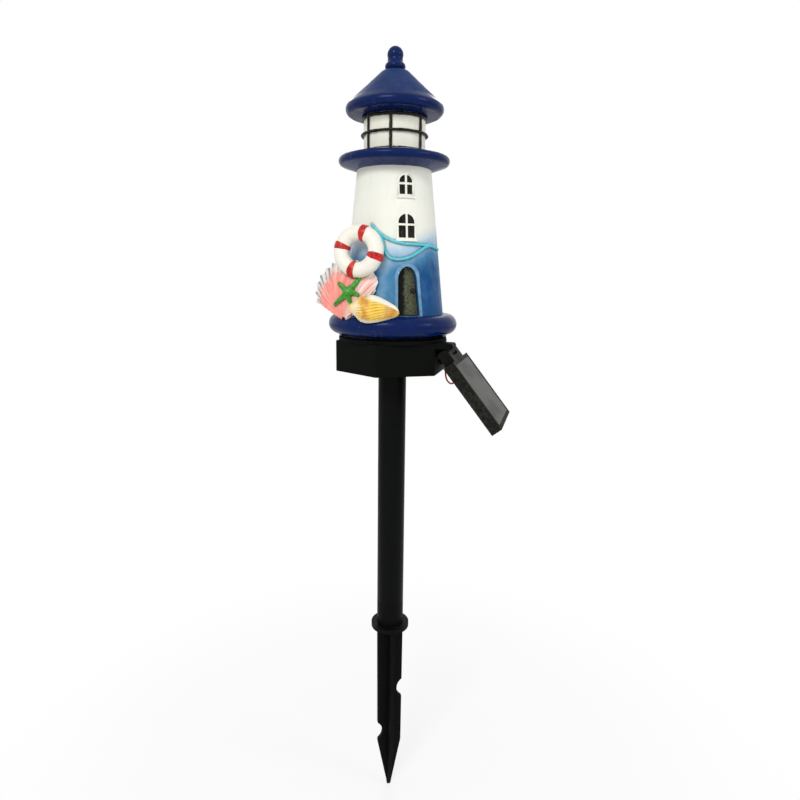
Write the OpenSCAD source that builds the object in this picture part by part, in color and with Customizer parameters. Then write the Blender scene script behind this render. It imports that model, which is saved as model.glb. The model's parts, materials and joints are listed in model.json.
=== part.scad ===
// Solar lighthouse garden ornament on a ground stake.
// Origin on the pole axis at the ground line, which is the underside of the spike's collar.
// +Z is up and the lighthouse door faces -Y. Lengths are in millimetres.
// Azimuths are measured from the door (-Y), positive towards +X.

/* [Stake] */
// Outside diameter of the pole
pole_od = 20; // [18:0.5:22]
// Wall of the pole tube
pole_wall = 1.5; // [1:0.1:2.5]
// Length of pole that shows between the spike and the housing
pole_show = 180; // [120:5:300]
// Diameter of the collar at the ground line
collar_d = 28.8; // [26:0.2:36]
// Thickness of the collar
collar_t = 3.5; // [2:0.5:6]
// Height of the sleeve above the collar
sleeve_h = 18.5; // [10:0.5:30]
// Length of the spigot that enters the pole
spigot_l = 25; // [15:1:40]
// Wall of the hollow spigot
spigot_wall = 2; // [1.5:0.1:3]
// Length of the blade below the ground line
blade_l = 144; // [100:2:200]
// Width of the blade under the collar
blade_w = 20; // [16:0.5:24]
// Width of the blade where its point begins
blade_w_low = 18.8; // [14:0.2:22]
// Length of the blade's point
point_l = 41; // [25:1:60]
// Thickness of the blade's fins
fin_t = 3; // [2:0.2:5]
// Radius of the round bites in the fins
bite_r = 9.4; // [6:0.2:12]
// Depth of the round bites in the fins
bite_depth = 4.3; // [2:0.1:6]
// Distance of the upper bite below the ground line
bite_high_l = 56; // [40:1:70]
// Distance of the lower bite below the ground line
bite_low_l = 93; // [76:1:98]

/* [Housing] */
// Corner radius of the hexagonal housing
hex_r = 40.6; // [40:0.2:50]
// Height of the housing
housing_h = 21.4; // [20.4:0.2:30]
// Wall of the housing
housing_wall = 2; // [1.5:0.1:3]
// Thickness of the floor plate
floor_t = 2.2; // [1.6:0.1:3]
// Depth of the pole socket
socket_depth = 12; // [8:0.5:13]
// Wall of the pole socket
socket_wall = 2; // [1.5:0.1:3]
// Radius of the black seat under the figure
seat_r = 38; // [34:0.5:42]
// Thickness of the seat
seat_t = 2.5; // [1:0.1:4]
// Travel of the slide switch
switch_travel = 2; // [1:0.5:3]

/* [Figure] */
// Greatest radius of the base ring
base_r = 45; // [42:0.5:52]
// Height of the base ring
base_h = 15.9; // [10:0.1:20]
// Outside radius of the tower at its foot
tower_foot_r = 36.6; // [34:0.2:38]
// Outside radius of the tower at its top
tower_top_r = 25.1; // [24:0.2:28]
// Height of the tower
tower_h = 109; // [100:1:120]
// Wall of the cast pieces
cast_wall = 2.6; // [2:0.1:4]
// Rim radius of the gallery deck
gallery_r = 37.4; // [32:0.2:44]
// Height of the gallery deck
gallery_h = 11; // [9:0.5:14]
// Outside radius of the lantern drum
lantern_r = 20.6; // [19:0.2:23]
// Height of the lantern drum
lantern_h = 26.6; // [22:0.2:34]
// Rim radius of the roof
roof_r = 32.7; // [29:0.1:38]
// Height of the roof above the lantern drum, without its knob
roof_h = 24; // [20:0.5:30]
// Height of the knob on the roof
knob_h = 16; // [10:0.5:22]
// Azimuth of the door and windows
door_az = 2.2; // [-10:0.2:10]
// Width of the door opening at its foot
door_w = 15.2; // [10:0.2:18]
// Height of the door opening
door_h = 31.7; // [25:0.1:38]

/* [Sea ornaments] */
// Large radius of the life ring, to the middle of its tube
ring_r = 11.8; // [10:0.1:14]
// Radius of the life ring's tube
ring_tube_r = 5.1; // [4:0.1:6]
// Thickness of the bands round the life ring
band_t = 0.35; // [0.2:0.05:0.8]
// Diameter of the moulded rope
rope_d = 1.8; // [1.2:0.1:2.6]
// Radius of the scallop from its hinge to its rim
scallop_r = 40; // [30:0.5:44]
// Length of the whelk shell
whelk_l = 33; // [26:0.5:38]
// Greatest radius of the whelk shell
whelk_r = 8.6; // [6:0.2:10]
// Thickness of the starfish arms at their root
star_r = 2.4; // [1.8:0.1:3.4]

/* [Solar panel] */
// Length of the panel down its slope
panel_l = 54; // [40:1:80]
// Width of the panel along its hinge
panel_w = 55.7; // [46:0.5:80]
// Thickness of the panel
panel_t = 7.8; // [6:0.2:12]
// Slope of the panel below level as it stands
panel_slope = 51.8; // [30:0.2:70]
// Rim round the solar cell
panel_rim = 2.6; // [1.5:0.1:5]
// Wall of the panel case
panel_wall = 1.6; // [1.2:0.1:2.5]
// Distance of the hinge axis from the housing's face
pivot_out = 6.8; // [6.4:0.1:9]
// Radius of the hinge knuckles
eye_r = 3; // [2.4:0.1:3.2]
// Radius of the hinge pin
pin_r = 1.5; // [1:0.1:2]
// Diameter of the panel's two leads
lead_d = 1.2; // [0.8:0.1:1.6]

/* [Hidden] */
$fn = 96;

// Fits and gaps
fit = 0.05;             // radial gap of turning and sliding round fits
joint_gap = 0.3;        // side gap of pieces that move past each other
glue_gap = 0.1;         // gap of glued or stacked pieces
eps = 0.01;
tip_w = 2.4;            // width of the blade's blunt tip

// Heights of the stacked pieces
sleeve_top = collar_t + sleeve_h;
housing_z = sleeve_top + pole_show;
housing_top = housing_z + housing_h;
seat_top = housing_top + seat_t;
tower_z = seat_top + 2.1;
base_top = seat_top + base_h;
tower_top = tower_z + tower_h;
gallery_top = tower_top + gallery_h;
lantern_top = gallery_top + lantern_h;
ceiling_z = housing_top - housing_wall;
floor_top = housing_z + floor_t;
pole_top = housing_z + socket_depth;

// Radii and hexagon sizes
hex_flat = hex_r * cos(30);
hex_in_r = hex_r - housing_wall / cos(30);
spigot_r = pole_od / 2 - pole_wall - fit;
socket_r = pole_od / 2 + fit;
socket_out_r = socket_r + socket_wall;
lantern_in_r = lantern_r - 2;
light_hole_r = 15;

// Screws
screw_r = 1.2;
screw_head_r = 2.8;
screw_head_h = 1.8;
floor_screw_pcr = 30.5;
figure_screw_pcr = 24;
pad_h = 3.2;
pad_r = 4.2;
boss_r = 3.2;
ledge_w = 2.6;

// Battery, board and switch
cell_r = 5.25;
cell_l = 44.5;
cell_y = socket_out_r + cell_r + 0.35;
cell_z = floor_top + 1.1 + cell_r;
board = [28, 12, 1.2];
board_pos = [-4, -22, floor_top + 4.4];
switch_size = [8.6, 4, 3.8];
switch_x = -8;
knob_size = [2, 2, 5.6];
led_z = seat_top + 22;
led_r = 2.5;

// Solar panel: local axes are s down the slope, t along the hinge and w out of its face
face_az = 60;
pivot_n = hex_flat + pivot_out;
pivot_z = housing_top - 6.9;
case_s = 7.1;
case_w = eye_r + 0.1;
lug_t0 = -21;
lug_t1 = 12;
knuckle_t0 = -12;
knuckle_t1 = 3;
// Hood over the hinge, its nose rounded
hood_t0 = -20;
hood_t1 = -8;
hood_top = housing_top + 0.6;
hood_h = 4;
hood_out = 12;
// Distance of the pin's ends from the lug's
pin_end = 1.8;
cell_t = 0.8;
window_t = 1;
lead_s = case_s + 6;
grommet_z = housing_top - 13;
grommet_r = 2.5;
grommet_lip_r = 3.3;

// Roof: round of the eave, top of the cone and foot of the collar round the drum
eave_r = 3.6;
neck_r = 9.2;
collar_z = lantern_top - 4.3;

// Base ring: rounding of its edge
base_round = 0.42 * base_h;

// Door opening: how much it narrows on each side, height of its round top, and how far its foot leans
door_taper = 1.2;
door_rise = 9;
door_lean = 0.7;

// Lantern bars and windows
bar_az = [-68, -21, 38.5, 98, 160, 226];
bar_w = 1.7;
upper_window = [door_az, tower_top - 19.2, 8.6, 12];
lower_window = [door_az, housing_top + 67.2, 10.8, 15];

// The shells, starfish and life ring stand on an arrangement turned from the door
relief_az = -14.2;
ring_z = housing_top + 59;
ring_off = tower_r(ring_z) + 7.45;
ring_pos = concat(ring_off * az_dir(-35.8), [ring_z]);
ring_yaw = -19;
ring_lean = 8;
band_turn = -15;
band_arc = 24;

scallop_pos = [-32, -28, base_top - 3.6];
scallop_yaw = -22;
scallop_lean = 10;
scallop_turn = 2;
scallop_half = 57;
scallop_ribs = 13;
scallop_rib = 0.5;
scallop_swell_h = 7.5;
scallop_t = 1.8;
star_place = [5.5, 17.8];
star_arms = [[140, 9], [56, 12.4], [-16, 6.6], [284, 6.9], [219, 12.2]];

// Rope routes on the tower: azimuth from the door, height above the housing
rope_upper = [[-44, 77], [-38.5, 73.8], [-32, 70.8], [-24.5, 68], [-16.5, 66.2], [-8.5, 65], [0, 64.2],
    [7, 64.1], [14, 63.9], [21, 63.8], [28, 63.6], [33, 63.5], [40, 63.1], [47, 62.5], [54, 61.8],
    [60, 61.1]];
rope_lower = [[-34.4, 71.4], [-29.4, 68], [-26.6, 64.8], [-25, 60.8], [-22, 57.4], [-18, 55.2], [-13, 54.4],
    [-8, 54.2], [-2, 54.6], [4, 55.6], [10, 57], [16, 58.8], [22, 60.8], [27, 62.2], [31, 63.2]];

// Lead routes: distance out from the axis, along the hinge, height above the housing's top
red_route = [[17, -13.2, -12.9], [19.5, -10.5, -13.1], [22.5, -7, -13.2], [26, -3.5, -13.1], [29, -1.4, -13],
    [32, -1, -13], [34.4, -1, -13], [36.5, -1, -13], [38, -1, -14.2], [38.8, -1, -17.2], [38.9, -1, -21.2],
    [39.3, -1, -25.2], [40.6, -1, -28.2], [42.7, -1, -29.9], [44.8, -1, -29.4], [45.7, -1, -27.6],
    [45.4, -1, -25.4], [44.5, -1, -23.7], [44.2, -1, -22.4], [44.9, -1, -21.3], [46.5, -1, -20],
    [48, -1, -18.8], [48.6, -1, -18.3]];
black_route = [[16, -10.5, -12.9], [18.5, -7.5, -13.1], [22, -3.5, -13.2], [26, -0.5, -13.1], [29, 0.8, -13],
    [32, 1, -13], [34.4, 1, -13], [36.5, 1, -13], [38, 1.6, -13.8], [39, 4, -15.4], [39.4, 7, -17.4],
    [39.6, 10, -19.4], [40.4, 12.6, -20.8], [42, 13.8, -21.8], [43.8, 13, -22.4], [44.6, 10.6, -22.6],
    [44.6, 7.8, -22.6], [44.3, 5.2, -22.4], [44.2, 3, -22.1], [44.6, 1.5, -21.6], [45.4, 1, -20.9],
    [46.5, 1, -20], [48, 1, -18.8], [48.6, 1, -18.3]];

// ---------- shared shapes ----------

function tower_r(z) = tower_foot_r - (tower_foot_r - tower_top_r) * (z - tower_z) / tower_h;
function az_dir(az) = [sin(az), -cos(az)];
function unit(v) = v / norm(v);
function arc(c, r, a0, a1, n) = [for (i = [0:n]) let (a = a0 + (a1 - a0) * i / n) c + r * [cos(a), sin(a)]];

function tangent(p, i) = i == 0 ? unit(p[1] - p[0])
    : i == len(p) - 1 ? unit(p[i] - p[i - 1])
    : unit(unit(p[i + 1] - p[i]) + unit(p[i] - p[i - 1]));
function side(p, i) = let (t = tangent(p, i), u = i == 0 ? cross(t, [0.3, 0.2, 1]) : side(p, i - 1))
    unit(u - (u * t) * t);

// A round tube whose rings stand on the points of a route
module tube(path, d, sides = 8) {
    n = len(path);
    rings = [for (i = [0:n - 1]) let (u = side(path, i), v = cross(tangent(path, i), u))
        for (k = [0:sides - 1]) path[i] + d / 2 * (cos(360 * k / sides) * u + sin(360 * k / sides) * v)];
    walls = [for (i = [0:n - 2], k = [0:sides - 1]) let (a = i * sides, b = a + sides, m = (k + 1) % sides)
        each [[a + k, b + k, b + m], [a + k, b + m, a + m]]];
    caps = [[for (k = [0:sides - 1]) k], [for (k = [sides - 1:-1:0]) (n - 1) * sides + k]];
    polyhedron(rings, concat(walls, caps), convexity = 8);
}

// A closed sheet between two grids of points with the same rows and columns
module sheet(front, back) {
    rows = len(front);
    cols = len(front[0]);
    n = rows * cols;
    pts = concat([for (row = front) each row], [for (row = back) each row]);
    top = [for (i = [0:rows - 2], j = [0:cols - 2]) let (a = i * cols + j, b = a + cols)
        each [[a, b, b + 1], [a, b + 1, a + 1]]];
    bottom = [for (f = top) [f[2] + n, f[1] + n, f[0] + n]];
    rim_rows = [for (j = [0:cols - 2]) let (a = j, b = (rows - 1) * cols + j)
        each [[a, a + 1, a + 1 + n], [a, a + 1 + n, a + n], [b + 1, b, b + n], [b + 1, b + n, b + 1 + n]]];
    rim_cols = [for (i = [0:rows - 2]) let (a = i * cols, b = a + cols - 1)
        each [[a + cols, a, a + n], [a + cols, a + n, a + cols + n],
            [b, b + cols, b + cols + n], [b, b + cols + n, b + n]]];
    polyhedron(pts, concat(top, bottom, rim_rows, rim_cols), convexity = 8);
}

module ring_of(r_out, r_in, z0, z1) {
    translate([0, 0, z0]) difference() {
        cylinder(r = r_out, h = z1 - z0);
        translate([0, 0, -1]) cylinder(r = r_in, h = z1 - z0 + 2);
    }
}

// Hexagonal prism with flats that face the door side and the panel side
module hexagon(r, z0, z1) {
    translate([0, 0, z0]) cylinder(r = r, h = z1 - z0, $fn = 6);
}

module at_az(az, r) {
    rotate([0, 0, az]) translate([0, -r, 0]) children();
}

module floor_screw_places() { for (az = [30, 150, 270]) at_az(az, floor_screw_pcr) children(); }
module figure_screw_places() { for (az = [90, 210, 330]) at_az(az, figure_screw_pcr) children(); }

// Solid cone of the tower, grown outwards
module tower_cone(grow) {
    translate([0, 0, tower_z]) cylinder(r1 = tower_foot_r + grow, r2 = tower_top_r + grow, h = tower_h);
}

// Layer of the tower wall from one depth to another, between two heights
module tower_layer(d0, d1, z0, z1) {
    rotate_extrude() polygon([[tower_r(z0) + d0, z0], [tower_r(z0) + d1, z0],
        [tower_r(z1) + d1, z1], [tower_r(z1) + d0, z1]]);
}

// Upright arch outline, its foot on the line y = 0
module door_outline(w, h) {
    side = w / 2 - door_taper;
    polygon(concat([[-w / 2 + door_lean, 0], [w / 2 + door_lean, 0]],
        [for (a = [0:9:180]) [side * cos(a), h - door_rise + door_rise * sin(a)]]));
}

module arch(w, h) {
    translate([0, h - w / 2]) circle(d = w);
    translate([-w / 2, 0]) square([w, h - w / 2]);
}

// A flat outline pushed through the tower wall on the door side
module through_wall(az, z) {
    rotate([0, 0, az]) translate([0, -15, z]) rotate([90, 0, 0]) linear_extrude(40) children();
}

// Outline of the base ring from its bottom edge to its top edge
function base_outline() = concat([[seat_r - 1, seat_top], [seat_r + 1.2, seat_top + 0.4]],
    arc([base_r - base_round, base_top - base_round], base_round, -62, 78, 9),
    [[tower_r(base_top) + 2.2, base_top], [tower_r(base_top) + glue_gap, base_top]]);

// ---------- stake ----------

module blade_outline() {
    half = blade_w / 2;
    low = blade_w_low / 2;
    polygon([[-half, 0], [-low, -(blade_l - point_l)], [-tip_w / 2, -blade_l], [tip_w / 2, -blade_l],
        [low, -(blade_l - point_l)], [half, 0]]);
}

module ground_spike() {
    color([0.06, 0.06, 0.05]) {
        difference() {
            union() {
                cylinder(d = collar_d, h = collar_t);
                translate([0, 0, collar_t - eps]) cylinder(d = pole_od, h = sleeve_h + eps);
                translate([0, 0, sleeve_top - eps]) cylinder(r = spigot_r, h = spigot_l + eps);
            }
            translate([0, 0, collar_t]) cylinder(r = spigot_r - spigot_wall, h = sleeve_h + spigot_l + 1);
        }
        difference() {
            union() for (a = [0, 90])
                rotate([0, 0, a]) rotate([90, 0, 0])
                    translate([0, 0, -fin_t / 2]) linear_extrude(fin_t) blade_outline();
            translate([blade_w / 2 - bite_depth + bite_r, 0, -bite_high_l])
                rotate([90, 0, 0]) cylinder(r = bite_r, h = blade_w + 2, center = true);
            translate([-(blade_w / 2 - bite_depth + bite_r), 0, -bite_low_l])
                rotate([90, 0, 0]) cylinder(r = bite_r, h = blade_w + 2, center = true);
        }
    }
}

module pole() {
    color([0.06, 0.06, 0.05]) ring_of(pole_od / 2, pole_od / 2 - pole_wall, sleeve_top + 0.02, pole_top);
}

// ---------- housing ----------

module knuckle_outline() {
    difference() {
        union() {
            translate([pivot_n, pivot_z]) circle(r = eye_r);
            polygon([[hex_flat - 0.6, pivot_z + eye_r], [pivot_n, pivot_z + eye_r],
                [pivot_n, pivot_z - 2.2], [hex_flat - 0.6, pivot_z - 2.2]]);
        }
        translate([pivot_n, pivot_z]) circle(r = pin_r + fit);
    }
}

module hood_outline() {
    nose_r = hood_h / 2;
    translate([hex_flat - 0.6, hood_top - hood_h]) square([hood_out - nose_r + 0.6, hood_h]);
    translate([hex_flat + hood_out - nose_r, hood_top - nose_r]) circle(r = nose_r);
}

// Places a piece drawn with x out of the panel's face of the housing, y along the hinge and z up
module at_panel_face() {
    rotate([0, 0, face_az - 90]) children();
}

// Extrudes an outline drawn in the hinge's plane from t0 to t1 along the hinge
module along_hinge(t0, t1) {
    translate([0, t1, 0]) rotate([90, 0, 0]) linear_extrude(t1 - t0) children();
}

module housing_shell() {
    color([0.09, 0.10, 0.08]) {
        difference() {
            union() {
                difference() {
                    hexagon(hex_r, housing_z, housing_top);
                    hexagon(hex_in_r, housing_z - 1, ceiling_z);
                }
                difference() {
                    hexagon(hex_in_r + eps, floor_top + 1.3, floor_top + 2.6);
                    hexagon(hex_in_r - ledge_w, floor_top, floor_top + 4);
                }
                floor_screw_places() translate([0, 0, floor_top + 1.3])
                    cylinder(r = boss_r, h = ceiling_z - floor_top - 1.3 + eps);
            }
            floor_screw_places()
                translate([0, 0, floor_top + 1.2]) cylinder(r = screw_r + fit, h = 11, $fn = 32);
            translate([0, 0, ceiling_z - 1]) cylinder(r = 6, h = housing_wall + 2);
            figure_screw_places()
                translate([0, 0, ceiling_z - 1]) cylinder(r = 1.7, h = housing_wall + 2, $fn = 32);
            at_panel_face() translate([hex_flat - 5, 0, grommet_z])
                rotate([0, 90, 0]) cylinder(r = grommet_r, h = 10);
        }
        at_panel_face() {
            along_hinge(knuckle_t0, knuckle_t1) knuckle_outline();
            along_hinge(hood_t0, hood_t1) hood_outline();
        }
    }
}

// Slot that the switch's knob slides in
module switch_slot(z, h) {
    slot_l = switch_travel + knob_size[0] + 2 * joint_gap;
    slot_w = knob_size[1] + 2 * joint_gap;
    translate([switch_x - slot_l / 2, board_pos[1] - slot_w / 2, z]) cube([slot_l, slot_w, h]);
}

module housing_floor() {
    color([0.08, 0.09, 0.07]) difference() {
        union() {
            hexagon(hex_in_r - glue_gap, housing_z, floor_top);
            translate([0, 0, housing_z]) cylinder(r = socket_out_r, h = socket_depth + 2 + glue_gap);
            floor_screw_places() translate([0, 0, housing_z]) cylinder(r = pad_r, h = pad_h);
            for (x = [-11, 11])
                translate([board_pos[0] + x, board_pos[1], floor_top - eps]) cylinder(r = 1.8, h = 4.2);
        }
        translate([0, 0, housing_z - 1]) cylinder(r = socket_r, h = socket_depth + 1 + glue_gap);
        floor_screw_places() {
            translate([0, 0, housing_z - 1]) cylinder(r = screw_head_r + 0.3, h = screw_head_h + 1, $fn = 32);
            translate([0, 0, housing_z]) cylinder(r = screw_r + 0.3, h = pad_h + 1, $fn = 32);
        }
        switch_slot(housing_z - 1, floor_t + 2);
    }
}

module floor_seal() {
    color([0.15, 0.15, 0.15]) difference() {
        hexagon(hex_in_r - glue_gap, floor_top + 0.02, floor_top + 1.28);
        hexagon(hex_in_r - 2.2, floor_top - 1, floor_top + 3);
    }
}

module floor_screws() {
    color([0.6, 0.6, 0.6]) floor_screw_places() difference() {
        union() {
            translate([0, 0, housing_z]) cylinder(r = screw_head_r, h = screw_head_h, $fn = 32);
            translate([0, 0, housing_z + screw_head_h - eps]) cylinder(r = screw_r, h = 8, $fn = 32);
        }
        for (a = [0, 90]) rotate([0, 0, a]) translate([-1.6, -0.35, housing_z - eps]) cube([3.2, 0.7, 1]);
    }
}

module figure_screws() {
    color([0.6, 0.6, 0.6]) figure_screw_places() difference() {
        union() {
            translate([0, 0, ceiling_z - screw_head_h])
                cylinder(r = screw_head_r, h = screw_head_h, $fn = 32);
            translate([0, 0, ceiling_z - eps]) cylinder(r = screw_r, h = 12, $fn = 32);
        }
        for (a = [0, 90]) rotate([0, 0, a])
            translate([-1.6, -0.35, ceiling_z - screw_head_h - eps]) cube([3.2, 0.7, 1]);
    }
}

module seat_gasket() {
    color([0.04, 0.04, 0.05]) difference() {
        ring_of(seat_r, 12.5, housing_top, seat_top);
        figure_screw_places() translate([0, 0, housing_top - 1]) cylinder(r = 1.7, h = seat_t + 2, $fn = 32);
    }
}

module lead_grommet() {
    lip_t = 1.1;
    color([0.04, 0.04, 0.04]) at_panel_face() translate([hex_flat, 0, grommet_z]) rotate([0, 90, 0])
        difference() {
            union() {
                translate([0, 0, -housing_wall]) cylinder(r = grommet_r - fit, h = housing_wall);
                cylinder(r = grommet_lip_r, h = lip_t);
                translate([0, 0, -housing_wall - lip_t]) cylinder(r = grommet_lip_r, h = lip_t);
            }
            for (y = [-1, 1])
                translate([0, y, -housing_wall - 2]) cylinder(r = lead_d / 2 + fit, h = 6, $fn = 32);
        }
}

// ---------- electrics ----------

module circuit_board() {
    color([0.10, 0.35, 0.18]) {
        translate(board_pos - [board[0] / 2, board[1] / 2, 0]) cube(board);
        translate(board_pos + [3, -1.5, board[2] - eps]) cube([5, 4, 1.6]);
        translate(board_pos + [-10.5, 2, board[2] - eps]) cylinder(r = 1.9, h = 3.4, $fn = 32);
    }
}

module switch_body() {
    color([0.62, 0.62, 0.62]) difference() {
        translate([switch_x - switch_size[0] / 2, board_pos[1] - switch_size[1] / 2, floor_top + 0.4])
            cube(switch_size);
        switch_slot(floor_top - 1, 3.4);
    }
}

module switch_slider() {
    color([0.05, 0.05, 0.05]) translate([switch_x - switch_travel / 2 - knob_size[0] / 2,
        board_pos[1] - knob_size[1] / 2, floor_top + 2.1 - knob_size[2]]) cube(knob_size);
}

module battery_cell() {
    color([0.20, 0.55, 0.30]) translate([-cell_l / 2, cell_y, cell_z]) rotate([0, 90, 0]) {
        cylinder(r = cell_r, h = cell_l - 1);
        translate([0, 0, cell_l - 1 - eps]) cylinder(r = 1.9, h = 1 + eps, $fn = 32);
    }
}

module battery_tray() {
    wall = 0.8;
    gap = 0.15;
    half_l = cell_l / 2 + 1.7;
    color([0.12, 0.12, 0.12]) difference() {
        intersection() {
            translate([-half_l - wall, cell_y - cell_r - gap, floor_top + 0.05])
                cube([2 * (half_l + wall), 2 * (cell_r + gap), 6.6]);
            hexagon(hex_in_r - ledge_w - joint_gap, floor_top, ceiling_z);
        }
        floor_screw_places() translate([0, 0, housing_z]) cylinder(r = pad_r + joint_gap, h = housing_h);
        translate([-half_l, cell_y, cell_z]) rotate([0, 90, 0]) cylinder(r = cell_r + 0.05, h = 2 * half_l);
        translate([-half_l, cell_y - cell_r, cell_z]) cube([2 * half_l, 2 * cell_r, 8]);
    }
}

// Conical contact spring at the cell's flat end
module battery_spring() {
    turns = 3;
    steps = 12;
    pitch = 0.52;
    base = [-cell_l / 2 - 1.65, cell_y, cell_z];
    route = [for (i = [0:turns * steps]) let (a = 360 * i / steps, r = 3.4 - 0.9 * i / (turns * steps))
        base + [0.2 + pitch * i / steps * 0.55, r * cos(a), r * sin(a)]];
    color([0.8, 0.8, 0.78]) tube(route, 0.26, 6);
}

module battery_plate() {
    color([0.8, 0.8, 0.78]) translate([cell_l / 2 + 0.05, cell_y - 3.5, cell_z - 3.4]) cube([0.4, 7, 7.4]);
}

module led_holder() {
    color([0.85, 0.85, 0.82]) difference() {
        union() {
            translate([0, 0, housing_top]) cylinder(r = 11.5, h = 1.6);
            translate([0, 0, ceiling_z]) cylinder(r = 6 - fit, h = housing_wall + eps);
            translate([0, 0, housing_top]) cylinder(r = 4.4, h = led_z - housing_top);
        }
        translate([0, 0, ceiling_z - 1]) cylinder(r = led_r + 0.05, h = led_z - ceiling_z + 2);
    }
}

module led_lamp() {
    color([0.95, 0.95, 0.90]) {
        translate([0, 0, led_z]) cylinder(r = 2.9, h = 1);
        translate([0, 0, led_z + 1 - eps]) cylinder(r = led_r, h = 5.2);
        translate([0, 0, led_z + 6.2 - eps]) rotate_extrude() intersection() {
            circle(r = led_r);
            square(led_r);
        }
    }
}

module led_wires() {
    for (x = [-1.2, 1.2]) color(x < 0 ? [0.05, 0.05, 0.05] : [0.7, 0.05, 0.05]) tube([
        [x, 0, led_z - 0.1], [x, 0, led_z - 8], [x, 0, led_z - 16], [x, 0, ceiling_z + 1.5],
        [x, -1.5, ceiling_z - 1.6], [x * 1.4, -5, ceiling_z - 2.6], [x * 2, -11, ceiling_z - 2.8],
        [x * 2.4, -16, ceiling_z - 4], [x * 2.5, -18, ceiling_z - 7],
        [x * 2.5, -18, board_pos[2] + board[2] + 0.05]], 0.9);
}

// ---------- lighthouse figure ----------

module base_ring() {
    color([0.05, 0.11, 0.38]) {
        difference() {
            rotate_extrude() polygon(concat(base_outline(),
                [[tower_r(tower_z) + glue_gap, tower_z], [light_hole_r, tower_z], [light_hole_r, seat_top]]));
            figure_screw_places()
                translate([0, 0, seat_top - 1]) cylinder(r = screw_r + fit, h = 6, $fn = 32);
        }
        figure_screw_places() translate([0, 0, tower_z - eps]) difference() {
            cylinder(r = 3.4, h = 9);
            translate([0, 0, -1]) cylinder(r = screw_r + fit, h = 9, $fn = 32);
        }
    }
}

module door_niche(grow) {
    through_wall(door_az, base_top + 0.3 - grow) door_outline(door_w + 2 * grow, door_h + 2 * grow);
}

module tower_shell() {
    color([0.94, 0.93, 0.88]) difference() {
        union() {
            difference() {
                tower_cone(0);
                translate([0, 0, tower_z - 1])
                    cylinder(r1 = tower_foot_r - cast_wall, r2 = tower_top_r - cast_wall,
                        h = tower_h + 1 - cast_wall);
                translate([0, 0, tower_top - 10]) cylinder(r = light_hole_r, h = 20);
            }
            intersection() {
                tower_layer(-3.4 - cast_wall, -0.5, tower_z + 1, base_top + door_h + 3);
                door_niche(1.8);
            }
        }
        intersection() {
            tower_layer(-3.4, 3, base_top - 1, base_top + door_h + 2);
            door_niche(0);
        }
    }
}

module gallery_deck() {
    r = gallery_r;
    z = tower_top;
    color([0.05, 0.11, 0.38]) rotate_extrude() polygon(concat(
        [[light_hole_r, z], [tower_top_r + 0.4, z]],
        arc([r - 2.9, z + 5.8], 2.9, -76, 62, 8),
        [[lantern_r + 6, gallery_top - 0.5], [lantern_r + 1.2, gallery_top], [light_hole_r, gallery_top]]));
}

module lantern_diffuser() {
    color([0.96, 0.94, 0.84]) ring_of(lantern_r, lantern_in_r, gallery_top, lantern_top);
}

module lantern_frame() {
    low = gallery_top + 0.05;
    r0 = lantern_r + 0.05;
    color([0.05, 0.05, 0.05]) {
        ring_of(lantern_r + 0.9, r0, low, low + 1.2);
        ring_of(lantern_r + 1.9, r0, gallery_top + 10.2, gallery_top + 11.9);
        ring_of(lantern_r + 1.3, r0, collar_z - 2.4, collar_z - 0.3);
        intersection() {
            ring_of(lantern_r + 1, r0, low, collar_z - 0.3);
            for (az = bar_az)
                at_az(az, lantern_r) translate([-bar_w / 2, -3, low]) cube([bar_w, 6, lantern_h]);
        }
    }
}

module roof_cap() {
    z = lantern_top;
    top = z + roof_h;
    eave = [roof_r - eave_r, z + 0.6];
    way = eave - [neck_r, top];
    lean = atan2(way[1], way[0]) + asin(eave_r / norm(way)) + 90;
    color([0.05, 0.11, 0.38]) rotate_extrude() polygon(concat(
        [[16.4, z - 1.9], [lantern_in_r - glue_gap, z - 1.9], [lantern_in_r - glue_gap, z],
            [lantern_r + glue_gap, z], [lantern_r + glue_gap, collar_z], [lantern_r + 1.6, collar_z]],
        arc(eave, eave_r, -100, lean, 10),
        [[neck_r, top]],
        arc([4.1, top + 3.4], 2.7, -50, 62, 5),
        arc([0, top + knob_h - 5.3], 5.3, 0, 90, 6),
        [[0, top - 5], [16.4, z + 5]]));
}

module door_leaf() {
    color([0.20, 0.20, 0.13]) intersection() {
        tower_layer(-3.35, -2.5, base_top + 0.4, base_top + door_h + 2);
        through_wall(door_az, base_top + 0.4) door_outline(door_w - 0.2, door_h - 0.2);
    }
}

module door_knob() {
    z = base_top + 16.5;
    az = door_az + 7.4;
    color([0.10, 0.10, 0.07]) at_az(az, tower_r(z) - 2.4) translate([0, 0, z]) rotate([90, 0, 0]) {
        cylinder(r = 0.7, h = 0.8, $fn = 24);
        translate([0, 0, 1.3]) sphere(r = 1.1, $fn = 24);
    }
}

module door_surround() {
    color([0.30, 0.52, 0.72]) intersection() {
        tower_layer(0.02, 0.9, base_top + 0.1, base_top + door_h + 6);
        difference() {
            through_wall(door_az, base_top + 0.1) door_outline(door_w + 4, door_h + 2.2);
            door_niche(0);
        }
    }
}

// Four panes of a window: two low and square, two high and arched
module pane_outlines(w, h, shrink) {
    bar = 1.3;
    pane_w = (w - 3 * bar) / 2;
    low_h = (h - 3 * bar) * 0.56;
    intersection() {
        translate([0, bar + shrink]) arch(w - 2 * bar - 2 * shrink, h - 2 * bar - 2 * shrink);
        for (s = [-1, 1]) {
            x = s * (pane_w + bar) / 2 - pane_w / 2;
            translate([x + shrink, bar + shrink]) square([pane_w - 2 * shrink, low_h - 2 * shrink]);
            translate([x + shrink, 2 * bar + low_h + shrink]) square([pane_w - 2 * shrink, h]);
        }
    }
}

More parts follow.
